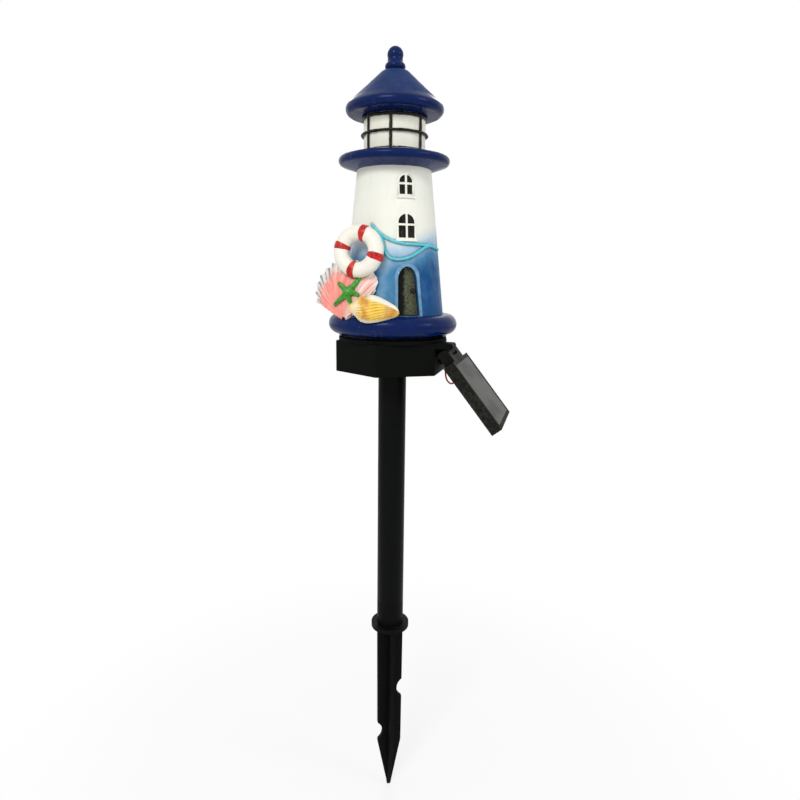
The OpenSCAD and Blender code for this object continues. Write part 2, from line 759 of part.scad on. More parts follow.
module window_frame(win) {
    az = win[0];
    z = win[1];
    w = win[2] + 2.6;
    h = win[3] + 2.6;
    color([0.95, 0.94, 0.90]) {
        intersection() {
            tower_layer(0.02, 0.7, z - 2, z + h + 2);
            through_wall(az, z) difference() {
                arch(w, h);
                pane_outlines(w, h, 0);
            }
        }
        intersection() {
            tower_layer(0.02, 1.2, z - 3, z + 2);
            through_wall(az, z - 0.9) translate([-w / 2 - 0.5, 0]) square([w + 1, 1]);
        }
    }
}

module window_panes(win) {
    w = win[2] + 2.6;
    h = win[3] + 2.6;
    color([0.08, 0.08, 0.06]) intersection() {
        tower_layer(0.02, 0.35, win[1] - 2, win[1] + h + 2);
        through_wall(win[0], win[1]) pane_outlines(w, h, 0.04);
    }
}

module upper_window_frame() { window_frame(upper_window); }
module upper_window_panes() { window_panes(upper_window); }
module lower_window_frame() { window_frame(lower_window); }
module lower_window_panes() { window_panes(lower_window); }

// ---------- sea ornaments ----------

module on_relief(pos, yaw, lean) {
    rotate([0, 0, relief_az]) translate(pos) rotate([0, 0, yaw]) rotate([90 - lean, 0, 0]) children();
}

module life_ring() {
    color([0.93, 0.92, 0.87]) difference() {
        on_relief(ring_pos, ring_yaw, ring_lean)
            rotate_extrude() translate([ring_r, 0]) circle(r = ring_tube_r, $fn = 48);
        tower_cone(glue_gap);
    }
}

module life_ring_bands() {
    color([0.75, 0.07, 0.09]) difference() {
        on_relief(ring_pos, ring_yaw, ring_lean) for (k = [0:3])
            rotate([0, 0, band_turn + 90 * k - band_arc / 2]) rotate_extrude(angle = band_arc)
                translate([ring_r, 0]) difference() {
                    circle(r = ring_tube_r + band_t, $fn = 48);
                    circle(r = ring_tube_r + 0.02, $fn = 48);
                }
        tower_cone(glue_gap);
    }
}

function on_tower(p) = let (z = housing_top + p[1], d = az_dir(p[0]), r = tower_r(z) + rope_d / 2 + glue_gap)
    [d[0] * r, d[1] * r, z];

module moulded_rope() {
    knot = on_tower([32.5, 63.4]);
    color([0.25, 0.75, 0.80]) {
        tube([for (p = rope_upper) on_tower(p)], rope_d);
        tube([for (p = rope_lower) on_tower(p)], rope_d);
        translate(knot * 1.004) rotate([0, 0, 32]) rotate([90, 0, 0])
            rotate_extrude($fn = 24) translate([0.9, 0]) circle(r = rope_d * 0.4, $fn = 16);
    }
}

// Scallop: a ribbed fan that swells outwards, drawn with its hinge at the origin and its rim upwards.
// u runs across the fan from -1 to 1, and q from the hinge to the rim.
function scallop_edge(u) = scallop_r * (1 - 0.32 * pow(u - 0.12, 2)) * (1 - 2.6 * max(0, u - 0.77));
function scallop_swell(q, u) = scallop_swell_h * sin(165 * pow(q, 0.75)) * (1 - 0.55 * u * u);
function scallop_height(x, y) = let (u = atan2(x, y) / scallop_half)
    scallop_swell(norm([x, y]) / scallop_edge(u), u);

module scallop_fan(grow, thick) {
    cols = scallop_ribs * 4;
    rows = 8;
    front = [for (i = [0:rows]) let (q = 0.10 + 0.90 * i / rows)
        [for (j = [0:cols]) let (u = 2 * j / cols - 1, a = scallop_half * u,
            wave = cos(360 * scallop_ribs * j / cols), r = scallop_edge(u) * (1 + 0.012 * wave) * q)
            [r * sin(a), r * cos(a), scallop_swell(q, u) + scallop_rib * q * wave + grow]]];
    back = [for (row = front) [for (p = row) p - [0, 0, thick + grow]]];
    sheet(front, back);
}

module on_scallop() {
    on_relief(scallop_pos, scallop_yaw, scallop_lean) rotate([0, 0, scallop_turn]) children();
}

module scallop_shell() {
    color([0.95, 0.60, 0.58]) difference() {
        on_scallop() scallop_fan(0, scallop_t);
        tower_cone(glue_gap);
        base_solid(glue_gap);
        whelk_body(0.15);
        ring_space();
    }
}

// Room that the life ring and its bands take, with what lies behind them
module ring_space() {
    reach = ring_tube_r + band_t + 0.1;
    on_relief(ring_pos, ring_yaw, ring_lean) {
        rotate_extrude() translate([ring_r, 0]) circle(r = reach, $fn = 32);
        translate([0, 0, -3 * reach]) cylinder(r = ring_r + reach, h = 3 * reach);
    }
}

// Solid of the base ring, grown, to seat the ornaments on it
module base_solid(grow) {
    rotate_extrude() polygon(concat([[0, seat_top]], [for (p = base_outline()) p + [grow, grow]],
        [[0, base_top + grow]]));
}

// Starfish that lies over the scallop, each arm given by its direction and length
module starfish() {
    color([0.16, 0.58, 0.12]) difference() {
        on_scallop() for (arm = star_arms) {
            tip = star_place + arm[1] * [cos(arm[0]), sin(arm[0])];
            hull() {
                translate([star_place[0], star_place[1], scallop_height(star_place[0], star_place[1]) + 1])
                    scale([1, 1, 0.8]) sphere(r = star_r, $fn = 16);
                translate([tip[0], tip[1], scallop_height(tip[0], tip[1]) + 0.9]) sphere(r = 1.15, $fn = 14);
            }
        }
        on_scallop() scallop_fan(glue_gap, scallop_t + 3);
        whelk_body(0.15);
        ring_space();
    }
}

// Whelk: a spindle with a stepped spire at its left end
module whelk_body(grow) {
    l = whelk_l;
    r = whelk_r;
    profile = [[0, 0], [0.16, 0.02], [0.34, 0.06], [0.42, 0.10], [0.52, 0.11], [0.66, 0.17], [0.80, 0.20],
        [0.97, 0.27], [1, 0.36], [0.96, 0.47], [0.84, 0.60], [0.64, 0.74], [0.40, 0.88], [0.22, 0.97],
        [0, 1]];
    rotate([0, 0, relief_az]) translate([-28.5, -42.5, base_top + 6.4]) rotate([0, 97, 3])
        rotate_extrude() polygon([for (p = profile) [p[0] * r + (p[0] > 0 ? grow : 0), p[1] * l]]);
}

module whelk_shell() {
    color([0.93, 0.78, 0.45]) difference() {
        whelk_body(0);
        tower_cone(glue_gap);
        base_solid(glue_gap);
    }
}

// ---------- solar panel ----------

module on_panel() {
    at_panel_face() translate([pivot_n, 0, pivot_z]) rotate([0, panel_slope, 0]) children();
}

// Box in the panel's own axes, inset from the case's outline
module panel_box(inset, w0, w1) {
    translate([case_s + inset, -panel_w / 2 + inset, w0])
        cube([panel_l - 2 * inset, panel_w - 2 * inset, w1 - w0]);
}

module lug_outline() {
    back = case_w - panel_t + 0.1;
    circle(r = eye_r);
    polygon([[0, eye_r], [case_s + 0.5, eye_r], [case_s + 0.5, back], [-1.6, back], [-eye_r, back + 1.6],
        [-eye_r, 0]]);
}

module panel_case() {
    floor_w = case_w - cell_t - window_t - 0.4;
    color([0.11, 0.11, 0.10]) on_panel() difference() {
        union() {
            panel_box(0, case_w - panel_t, case_w);
            along_hinge(lug_t0, lug_t1) lug_outline();
        }
        panel_box(panel_rim, floor_w, case_w + 1);
        panel_box(panel_wall, case_w - panel_t - 1, floor_w - 1.2);
        translate([lead_s, 0, floor_w - 2]) cylinder(r = 1.6, h = 3, $fn = 32);
        along_hinge(knuckle_t0 - joint_gap, knuckle_t1 + joint_gap)
            translate([-2 * eye_r, -panel_t]) square([3 * eye_r + joint_gap, 2 * panel_t]);
        along_hinge(lug_t0 + pin_end, lug_t1 + 1) circle(r = pin_r + fit);
    }
}

module panel_back() {
    w = case_w - panel_t;
    color([0.10, 0.10, 0.09]) on_panel() difference() {
        panel_box(panel_wall + glue_gap, w, w + 1.2);
        for (y = [-1, 1]) translate([lead_s, y, w - 1]) cylinder(r = lead_d / 2 + 0.1, h = 4, $fn = 32);
    }
}

module solar_cell() {
    w = case_w - cell_t - window_t - 0.3;
    color([0.30, 0.31, 0.28]) on_panel() panel_box(panel_rim + 0.2, w, w + cell_t);
}

module panel_window() {
    w = case_w - window_t - 0.2;
    color([0.75, 0.78, 0.75, 0.4]) on_panel() panel_box(panel_rim + glue_gap, w, w + window_t);
}

module hinge_pin() {
    color([0.12, 0.12, 0.12]) at_panel_face()
        along_hinge(lug_t0 + pin_end + joint_gap, lug_t1 - pin_end)
            translate([pivot_n, pivot_z]) circle(r = pin_r);
}

function lead_path(route) = [for (p = route) let (a = face_az - 90)
    [p[0] * cos(a) - p[1] * sin(a), p[0] * sin(a) + p[1] * cos(a), housing_top + p[2]]];

module lead_red() { color([0.75, 0.06, 0.05]) tube(lead_path(red_route), lead_d); }
module lead_black() { color([0.05, 0.05, 0.05]) tube(lead_path(black_route), lead_d); }

ground_spike();
pole();
housing_shell();
housing_floor();
floor_seal();
floor_screws();
figure_screws();
seat_gasket();
circuit_board();
battery_cell();
battery_tray();
battery_spring();
battery_plate();
led_lamp();
led_holder();
led_wires();
switch_body();
switch_slider();
lead_grommet();
base_ring();
tower_shell();
gallery_deck();
lantern_diffuser();
lantern_frame();
roof_cap();
door_leaf();
door_knob();
door_surround();
upper_window_frame();
upper_window_panes();
lower_window_frame();
lower_window_panes();
life_ring();
life_ring_bands();
moulded_rope();
scallop_shell();
starfish();
whelk_shell();
hinge_pin();
panel_case();
panel_back();
solar_cell();
panel_window();
lead_red();
lead_black();
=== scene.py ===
import json
import math
import random

import bmesh
import bpy
from mathutils import Matrix, Vector, noise
from mathutils.bvhtree import BVHTree


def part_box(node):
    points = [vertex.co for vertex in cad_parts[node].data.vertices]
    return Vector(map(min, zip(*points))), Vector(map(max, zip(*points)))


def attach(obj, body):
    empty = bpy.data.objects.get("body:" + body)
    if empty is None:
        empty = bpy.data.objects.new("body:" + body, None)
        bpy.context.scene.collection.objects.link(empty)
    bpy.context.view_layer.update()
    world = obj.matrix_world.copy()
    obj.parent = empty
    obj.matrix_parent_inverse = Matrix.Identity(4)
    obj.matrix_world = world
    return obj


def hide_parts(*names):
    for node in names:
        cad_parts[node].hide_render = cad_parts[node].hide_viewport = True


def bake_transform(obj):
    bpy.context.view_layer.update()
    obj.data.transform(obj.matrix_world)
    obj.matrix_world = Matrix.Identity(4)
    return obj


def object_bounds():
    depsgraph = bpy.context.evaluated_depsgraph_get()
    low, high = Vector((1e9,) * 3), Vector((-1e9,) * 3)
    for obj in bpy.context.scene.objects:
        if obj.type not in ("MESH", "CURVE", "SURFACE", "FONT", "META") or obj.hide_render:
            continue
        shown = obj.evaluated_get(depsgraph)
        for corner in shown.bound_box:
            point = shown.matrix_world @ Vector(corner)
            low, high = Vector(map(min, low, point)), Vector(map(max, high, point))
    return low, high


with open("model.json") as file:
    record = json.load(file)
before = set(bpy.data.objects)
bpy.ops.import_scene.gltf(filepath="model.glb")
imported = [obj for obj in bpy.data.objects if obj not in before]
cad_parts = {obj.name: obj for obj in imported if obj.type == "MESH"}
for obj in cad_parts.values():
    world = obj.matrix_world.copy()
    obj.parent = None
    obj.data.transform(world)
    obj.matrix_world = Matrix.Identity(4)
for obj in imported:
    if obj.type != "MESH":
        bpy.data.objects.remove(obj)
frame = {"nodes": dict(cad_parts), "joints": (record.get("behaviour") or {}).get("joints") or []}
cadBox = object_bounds()
mm = 0.001  # every size below is written in millimetres and times this

# heights and radii that the frame gives
floorZ = cadBox[0].z
towerLow, towerHigh = (p.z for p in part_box("tower_shell"))
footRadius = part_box("tower_shell")[1].x
baseLow, baseHigh = (p.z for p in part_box("base_ring"))
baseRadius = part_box("base_ring")[1].x
deckLow, deckHigh = (p.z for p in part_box("gallery_deck"))
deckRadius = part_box("gallery_deck")[1].x
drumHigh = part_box("lantern_diffuser")[1].z
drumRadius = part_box("lantern_diffuser")[1].x
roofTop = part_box("roof_cap")[1].z
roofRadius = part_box("roof_cap")[1].x
housingLow, housingHigh = (p.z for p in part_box("housing_shell"))
topRadius = 25.1 * mm
reliefTurn = math.radians(-14.2)  # the sea ornaments stand on an arrangement turned from the door


def towerRadius(z):
    return footRadius - (footRadius - topRadius) * (z - towerLow) / (towerHigh - towerLow)


cameraLook = dict(place=(-105.6, -417.5, 268.5), turn=-14.2, tilt=-11.139, roll=0.552,
                  lens=27.26, shiftX=0.0098, shiftY=-0.0075)


def link(obj):
    bpy.context.scene.collection.objects.link(obj)


def makeCamera():
    data = bpy.data.cameras.new("camera")
    data.lens = cameraLook["lens"]
    data.sensor_width = 36
    data.shift_x, data.shift_y = cameraLook["shiftX"], cameraLook["shiftY"]
    data.clip_start, data.clip_end = 0.01, 20
    camera = bpy.data.objects.new("camera", data)
    link(camera)
    turned = (Matrix.Rotation(math.radians(cameraLook["turn"]), 4, "Z")
              @ Matrix.Rotation(math.radians(90 + cameraLook["tilt"]), 4, "X")
              @ Matrix.Rotation(math.radians(cameraLook["roll"]), 4, "Z"))
    camera.matrix_world = Matrix.Translation(Vector(cameraLook["place"]) * mm) @ turned
    bpy.context.scene.camera = camera


makeCamera()
print("camera ready")


def paint(red, green, blue, alpha=1.0):
    # a colour as read on a screen, 0 to 255, made linear
    def linear(c):
        c = c / 255
        return c / 12.92 if c <= 0.04045 else ((c + 0.055) / 1.055) ** 2.4
    return linear(red), linear(green), linear(blue), alpha


def put(tree, kind, settings=None, sockets=None):
    node = tree.nodes.new("ShaderNode" + kind)
    for key, value in (settings or {}).items():
        setattr(node, key, value)
    for key, value in (sockets or {}).items():
        if isinstance(value, bpy.types.NodeSocket):
            tree.links.new(value, node.inputs[key])
        else:
            node.inputs[key].default_value = value
    return node


def mixColours(tree, share, first, second):
    node = put(tree, "Mix", {"data_type": "RGBA"})
    for index, value in ((0, share), (6, first), (7, second)):
        if isinstance(value, bpy.types.NodeSocket):
            tree.links.new(value, node.inputs[index])
        else:
            node.inputs[index].default_value = value
    return node.outputs[2]


def maths(tree, kind, first, second=0.0, clamp=False):
    return put(tree, "Math", {"operation": kind, "use_clamp": clamp}, {0: first, 1: second}).outputs[0]


def times(tree, first, second, clamp=False):
    return maths(tree, "MULTIPLY", first, second, clamp)


def remap(tree, value, low, high, toLow=0.0, toHigh=1.0):
    node = put(tree, "MapRange", {"interpolation_type": "SMOOTHSTEP"},
               {"Value": value, "From Min": low, "From Max": high, "To Min": toLow, "To Max": toHigh})
    return node.outputs[0]


def grain(tree, where, scale, detail=3.0, rough=0.55, distort=0.0):
    return put(tree, "TexNoise", {}, {"Vector": where, "Scale": scale, "Detail": detail,
                                      "Roughness": rough, "Distortion": distort}).outputs["Fac"]


def stretched(tree, where, scale):
    return put(tree, "Mapping", {}, {"Vector": where, "Scale": scale}).outputs[0]


def newGroup(name, inputs, outputs):
    group = bpy.data.node_groups.new(name, "ShaderNodeTree")
    for label, kind, value in inputs:
        socket = group.interface.new_socket(name=label, in_out="INPUT", socket_type="NodeSocket" + kind)
        socket.default_value = value
    for label, kind in outputs:
        group.interface.new_socket(name=label, in_out="OUTPUT", socket_type="NodeSocket" + kind)
    return group, group.nodes.new("NodeGroupInput"), group.nodes.new("NodeGroupOutput")


def makeBrushGroup():
    # hand-brushed paint: streaks of thinner paint, uneven sheen and a lumpy cast under it
    group, given, made = newGroup(
        "brushed paint",
        [("Paint", "Color", (0.5, 0.5, 0.5, 1)), ("Thin", "Color", (0.7, 0.7, 0.7, 1)),
         ("Streaks", "Float", 0.3), ("Stroke", "Float", 260.0), ("Sheen", "Float", 0.35),
         ("Lumps", "Float", 0.5)],
        [("Color", "Color"), ("Roughness", "Float"), ("Height", "Float")])
    where = group.nodes.new("ShaderNodeTexCoord").outputs["Object"]
    along = stretched(group, where, (1.0, 1.0, 0.3))
    streak = put(group, "TexNoise", {}, {"Vector": along, "Scale": given.outputs["Stroke"], "Detail": 5.0,
                                         "Roughness": 0.62, "Distortion": 0.6}).outputs["Fac"]
    blotch = grain(group, where, 60.0, 3.0)
    share = times(group, remap(group, streak, 0.42, 0.72), given.outputs["Streaks"])
    share = times(group, share, remap(group, blotch, 0.3, 0.7, 0.35, 1.0), True)
    colour = mixColours(group, share, given.outputs["Paint"], given.outputs["Thin"])
    speck = remap(group, grain(group, where, 1500.0, 2.0), 0.66, 0.74, 1.0, 0.86)
    shaded = put(group, "HueSaturation", {}, {"Color": colour, "Value": speck}).outputs[0]
    group.links.new(shaded, made.inputs["Color"])
    sheen = maths(group, "ADD", remap(group, blotch, 0.25, 0.75, -0.11, 0.11), given.outputs["Sheen"], True)
    group.links.new(sheen, made.inputs["Roughness"])
    lumps = times(group, grain(group, where, 190.0, 2.0), given.outputs["Lumps"])
    pits = times(group, grain(group, where, 1700.0, 2.0), 0.05)
    strokes = times(group, streak, 0.22)
    total = maths(group, "ADD", maths(group, "ADD", lumps, pits), strokes)
    group.links.new(total, made.inputs["Height"])
    return group


def makeGrainGroup():
    # moulded plastic or rubber: fine spark-eroded grain, scuffs and a little dust on upward faces
    group, given, made = newGroup(
        "moulded grain",
        [("Tone", "Color", (0.02, 0.02, 0.02, 1)), ("Scuff", "Color", (0.08, 0.08, 0.08, 1)),
         ("Wear", "Float", 0.3), ("Sheen", "Float", 0.4), ("Grain", "Float", 2600.0)],
        [("Color", "Color"), ("Roughness", "Float"), ("Height", "Float")])
    where = group.nodes.new("ShaderNodeTexCoord").outputs["Object"]
    fine = put(group, "TexNoise", {}, {"Vector": where, "Scale": given.outputs["Grain"],
                                       "Detail": 2.0}).outputs["Fac"]
    scratch = grain(group, stretched(group, where, (1.0, 1.0, 0.06)), 900.0, 3.0, 0.7, 0.4)
    scratch = remap(group, scratch, 0.63, 0.70)
    cloud = grain(group, where, 45.0, 4.0)
    facing = put(group, "SeparateXYZ", {}, {0: group.nodes.new("ShaderNodeNewGeometry").outputs["Normal"]})
    dust = times(group, remap(group, facing.outputs[2], 0.3, 1.0), remap(group, cloud, 0.45, 0.7))
    worn = maths(group, "ADD", times(group, scratch, 0.35), times(group, dust, 0.6))
    worn = times(group, worn, given.outputs["Wear"], True)
    colour = mixColours(group, worn, given.outputs["Tone"], given.outputs["Scuff"])
    value = remap(group, cloud, 0.3, 0.7, 0.94, 1.06)
    colour = put(group, "HueSaturation", {}, {"Color": colour, "Value": value}).outputs[0]
    group.links.new(colour, made.inputs["Color"])
    sheen = maths(group, "ADD", given.outputs["Sheen"], remap(group, cloud, 0.3, 0.7, -0.05, 0.09))
    sheen = maths(group, "ADD", sheen, times(group, worn, 0.25), True)
    group.links.new(sheen, made.inputs["Roughness"])
    height = maths(group, "ADD", times(group, fine, 0.3), times(group, scratch, -0.2))
    group.links.new(height, made.inputs["Height"])
    return group


def makeEdgeHighlightGroup():
    # painted highlight: a lighter colour on ridges and outer edges, where the light catches them, broken up
    # by noise
    group, given, made = newGroup(
        "painted edge highlight",
        [("Base", "Color", (0.5, 0.5, 0.5, 1)), ("Highlight", "Color", (0.8, 0.8, 0.8, 1)),
         ("Low", "Float", 0.51), ("High", "Float", 0.56), ("Amount", "Float", 0.6)],
        [("Color", "Color"), ("Mask", "Float")])
    where = group.nodes.new("ShaderNodeTexCoord").outputs["Object"]
    ridge = group.nodes.new("ShaderNodeNewGeometry").outputs["Pointiness"]
    mask = put(group, "MapRange", {}, {"Value": ridge, "From Min": given.outputs["Low"],
                                       "From Max": given.outputs["High"]}).outputs[0]
    broken = remap(group, grain(group, where, 420.0, 4.0, 0.65), 0.38, 0.62, 0.15, 1.0)
    mask = times(group, times(group, mask, broken), given.outputs["Amount"], True)
    group.links.new(mixColours(group, mask, given.outputs["Base"], given.outputs["Highlight"]),
                    made.inputs["Color"])
    group.links.new(mask, made.inputs["Mask"])
    return group


brushGroup = makeBrushGroup()
grainGroup = makeGrainGroup()
edgeHighlightGroup = makeEdgeHighlightGroup()


def useGroup(tree, group, values):
    node = tree.nodes.new("ShaderNodeGroup")
    node.node_tree = group
    for key, value in values.items():
        if isinstance(value, bpy.types.NodeSocket):
            tree.links.new(value, node.inputs[key])
        else:
            node.inputs[key].default_value = value
    return node


def brushed(tree, base, thin, streaks, stroke, sheen, lumps):
    return useGroup(tree, brushGroup, {"Paint": base, "Thin": thin, "Streaks": streaks,
                                       "Stroke": stroke, "Sheen": sheen, "Lumps": lumps})


def moulded(tree, tone, scuff, wear, sheen, fineness):
    return useGroup(tree, grainGroup, {"Tone": tone, "Scuff": scuff, "Wear": wear,
                                       "Sheen": sheen, "Grain": fineness})


def paintedEdgeHighlight(tree, base, paintedHighlight, low, high, amount):
    return useGroup(tree, edgeHighlightGroup, {"Base": base, "Highlight": paintedHighlight, "Low": low,
                                     "High": high, "Amount": amount}).outputs["Color"]


def newMaterial(name, **plain):
    # the shader's own sockets take what is the same all over the surface
    material = bpy.data.materials.new(name)
    material.use_nodes = True
    tree = material.node_tree
    shader = tree.nodes["Principled BSDF"]
    for key, value in plain.items():
        shader.inputs[key.replace("_", " ")].default_value = value
    return material, tree, shader


def wire(tree, shader, colour=None, roughness=None, height=None, depth=0.2):
    if colour is not None:
        tree.links.new(colour, shader.inputs["Base Color"])
    if roughness is not None:
        tree.links.new(roughness, shader.inputs["Roughness"])
    if height is not None:
        bump = put(tree, "Bump", {}, {"Height": height, "Distance": depth * mm, "Strength": 1.0})
        tree.links.new(bump.outputs[0], shader.inputs["Normal"])


def wireMade(tree, shader, made, depth, colour=None):
    # a node group's three outputs into the shader, its colour or one laid over it
    wire(tree, shader, made.outputs["Color"] if colour is None else colour,
         made.outputs["Roughness"], made.outputs["Height"], depth)


def objectPlace(tree):
    return tree.nodes.new("ShaderNodeTexCoord").outputs["Object"]


def ownMap(tree):
    node = put(tree, "SeparateXYZ", {}, {0: tree.nodes.new("ShaderNodeTexCoord").outputs["UV"]})
    return node.outputs[0], node.outputs[1]


def mark(tree, name):
    return put(tree, "Attribute", {"attribute_name": name}).outputs["Fac"]


def keep(bm, name, body, material, replaced=(), sharp=38, recalc=True):
    if recalc:
        bmesh.ops.recalc_face_normals(bm, faces=bm.faces)
    mesh = bpy.data.meshes.new(name)
    bm.to_mesh(mesh)
    bm.free()
    for face in mesh.polygons:
        face.use_smooth = True
    mesh.set_sharp_from_angle(angle=math.radians(sharp))
    obj = bpy.data.objects.new(name, mesh)
    link(obj)
    mesh.materials.append(material)
    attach(obj, body)
    if replaced:
        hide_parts(*replaced)
    return obj


def settle(obj, sharp=38):
    # the modifiers' result becomes the piece's own mesh
    depsgraph = bpy.context.evaluated_depsgraph_get()
    mesh = bpy.data.meshes.new_from_object(obj.evaluated_get(depsgraph))
    obj.modifiers.clear()
    obj.data = mesh
    for face in mesh.polygons:
        face.use_smooth = True
    mesh.set_sharp_from_angle(angle=math.radians(sharp))
    return obj


def arcOf(centre, radius, start, end, count):
    points = []
    for i in range(count + 1):
        angle = math.radians(start + (end - start) * i / count)
        points.append((centre[0] + radius * math.cos(angle), centre[1] + radius * math.sin(angle)))
    return points


def spinRound(bm, geom, steps):
    bmesh.ops.spin(bm, geom=geom, cent=(0, 0, 0), axis=(0, 0, 1), angle=2 * math.pi, steps=steps,
                   use_merge=True, use_duplicate=False)


def turnPoints(bm, verts, degrees, axis):
    bmesh.ops.rotate(bm, verts=verts, cent=(0, 0, 0),
                     matrix=Matrix.Rotation(math.radians(degrees), 3, axis))


def lathe(profile, steps=224, closed=True):
    # profile is (radius, height) in metres, from one end round to the other
    bm = bmesh.new()
    verts = [bm.verts.new((r, 0, z)) for r, z in profile]
    edges = [bm.edges.new(pair) for pair in zip(verts, verts[1:])]
    if closed:
        edges.append(bm.edges.new((verts[-1], verts[0])))
    spinRound(bm, verts + edges, steps)
    bmesh.ops.remove_doubles(bm, verts=bm.verts, dist=1e-6)
    return bm


def lumpy(bm, size, amount, seed=0.0, smooth=2):
    # a hand cast is never quite true: push each point along its normal by slow noise
    bm.normal_update()
    for v in bm.verts:
        v.co += v.normal * amount * noise.fractal(v.co / size + Vector((seed, 0, 0)), 0.5, 2.0, smooth)


def softened(node, name, body, material, width=0.3, angle=35, segments=2):
    # a merged copy of a CAD node with its edges rounded, which stands for the node
    bm = bmesh.new()
    bm.from_mesh(frame["nodes"][node].data)
    bmesh.ops.remove_doubles(bm, verts=bm.verts, dist=3e-6)
    bmesh.ops.dissolve_limit(bm, angle_limit=math.radians(0.4), verts=bm.verts, edges=bm.edges)
    edges = [e for e in bm.edges if e.is_manifold and e.calc_face_angle(0) > math.radians(angle)]
    bmesh.ops.bevel(bm, geom=edges, offset=width * mm, offset_type="OFFSET", segments=segments,
                    profile=0.5, affect="EDGES", clamp_overlap=True, material=-1)
    obj = keep(bm, name, body, material, [node], sharp=32, recalc=False)
    normals = obj.modifiers.new("normals", "WEIGHTED_NORMAL")
    normals.keep_sharp = True
    return obj


def finer(obj, cuts):
    # more points over the same faces, for a mark that needs them
    bm = bmesh.new()
    bm.from_mesh(obj.data)
    bmesh.ops.triangulate(bm, faces=bm.faces)
    bmesh.ops.subdivide_edges(bm, edges=bm.edges, cuts=cuts, use_grid_fill=True)
    bm.to_mesh(obj.data)
    bm.free()


def finishNode(node, material):
    # a CAD node that stays gets its finish in its own slots
    data = frame["nodes"][node].data
    data.materials.clear()
    data.materials.append(material)


def pushOut(bm, clearance):
    # what would lie inside the tower is pressed on to its face
    for v in bm.verts:
        if towerLow < v.co.z < towerHigh:
            least = towerRadius(v.co.z) + clearance
            out = math.hypot(v.co.x, v.co.y)
            if out < least:
                v.co.x *= least / out
                v.co.y *= least / out


def treeOf(objects):
    bm = bmesh.new()
    for obj in objects:
        bm.from_mesh(obj.data)
    tree = BVHTree.FromBMesh(bm)
    bm.free()
    return tree


def markContact(obj, others, reach, name="contact"):
    # 1 where another piece touches, falling to 0 at the reach; it masks painted shade between the parts
    tree = treeOf(others)
    values = []
    for v in obj.data.vertices:
        found = tree.find_nearest(v.co, reach)
        values.append(0.0 if found[3] is None else (1 - found[3] / reach) ** 2)
    layer = obj.data.attributes.new(name, "FLOAT", "POINT")
    layer.data.foreach_set("value", values)


def markPoints(obj, name, rule):
    layer = obj.data.attributes.new(name, "FLOAT", "POINT")
    layer.data.foreach_set("value", [rule(v.co) for v in obj.data.vertices])


def azimuthOf(p):
    return math.degrees(math.atan2(p.x, -p.y))


def smoothStep(value, low, high):
    t = min(1.0, max(0.0, (value - low) / (high - low)))
    return t * t * (3 - 2 * t)


# each edge colour is a painted highlight along a moulding's rounded edges
blackLook = dict(
    stake=dict(tone=paint(10, 10, 10), scuff=paint(40, 40, 38),
               edge=paint(58, 58, 56), wear=0.18, sheen=0.44, grain=2400),
    pole=dict(tone=paint(9, 10, 10), scuff=paint(38, 38, 39), wear=0.14, sheen=0.32, grain=3200),
    housing=dict(tone=paint(12, 15, 11), scuff=paint(34, 37, 31),
                 edge=paint(66, 68, 62), wear=0.12, sheen=0.46, grain=2100),
    case=dict(tone=paint(20, 20, 17), scuff=paint(50, 52, 46),
              edge=paint(84, 85, 78), wear=0.12, sheen=0.48, grain=2300),
    tray=dict(tone=paint(26, 26, 27), scuff=paint(58, 58, 58), wear=0.10, sheen=0.46, grain=2600),
    rubber=dict(tone=paint(11, 12, 11), scuff=paint(36, 36, 34), wear=0.25, sheen=0.72, grain=1500),
)


def mouldedBlack(name, look, shine=0.3, paintedHighlight=True):
    material, tree, shader = newMaterial(name, Specular_IOR_Level=shine)
    made = moulded(tree, look["tone"], look["scuff"], look["wear"], look["sheen"], float(look["grain"]))
    colour = made.outputs["Color"]
    # a painted highlight along the rounded edges, where the light catches them
    if paintedHighlight:
        colour = paintedEdgeHighlight(tree, colour, look["edge"], 0.60, 0.72, 0.22)
    wireMade(tree, shader, made, 0.03, colour)
    return material


blackStake = mouldedBlack("stake plastic", blackLook["stake"], 0.05)
blackPole = mouldedBlack("pole tube", blackLook["pole"], 0.06, False)
blackHousing = mouldedBlack("housing plastic", blackLook["housing"], 0.03)
blackCase = mouldedBlack("panel plastic", blackLook["case"], 0.04)
blackTray = mouldedBlack("tray plastic", blackLook["tray"], 0.2, False)
blackRubber = mouldedBlack("seal rubber", blackLook["rubber"], 0.05, False)

softened("ground_spike", "groundSpike", "stake", blackStake, 0.35, 30)
softened("pole", "poleTube", "pole", blackPole, 0.2)
softened("housing_shell", "housingShell", "head", blackHousing, 0.4)
softened("housing_floor", "housingFloor", "head", blackHousing, 0.3)
softened("seat_gasket", "seatGasket", "head", blackRubber, 0.3)
softened("panel_case", "panelCase", "panel", blackCase, 0.35)
softened("panel_back", "panelBack", "panel", blackCase, 0.2)
softened("hinge_pin", "hingePin", "head", blackStake, 0.3)
for node in ("floor_seal", "lead_grommet"):
    finishNode(node, blackRubber)
finishNode("battery_tray", blackTray)
finishNode("switch_slider", blackStake)
print("black mouldings ready")


navyLook = dict(paint=paint(7, 30, 82), thin=paint(26, 48, 96), worn=paint(176, 184, 200),
                glareAndDull=paint(34, 62, 108), under=paint(9, 10, 11), dull=0.65,
                streaks=0.35, stroke=150, sheen=0.22, lumps=0.9)


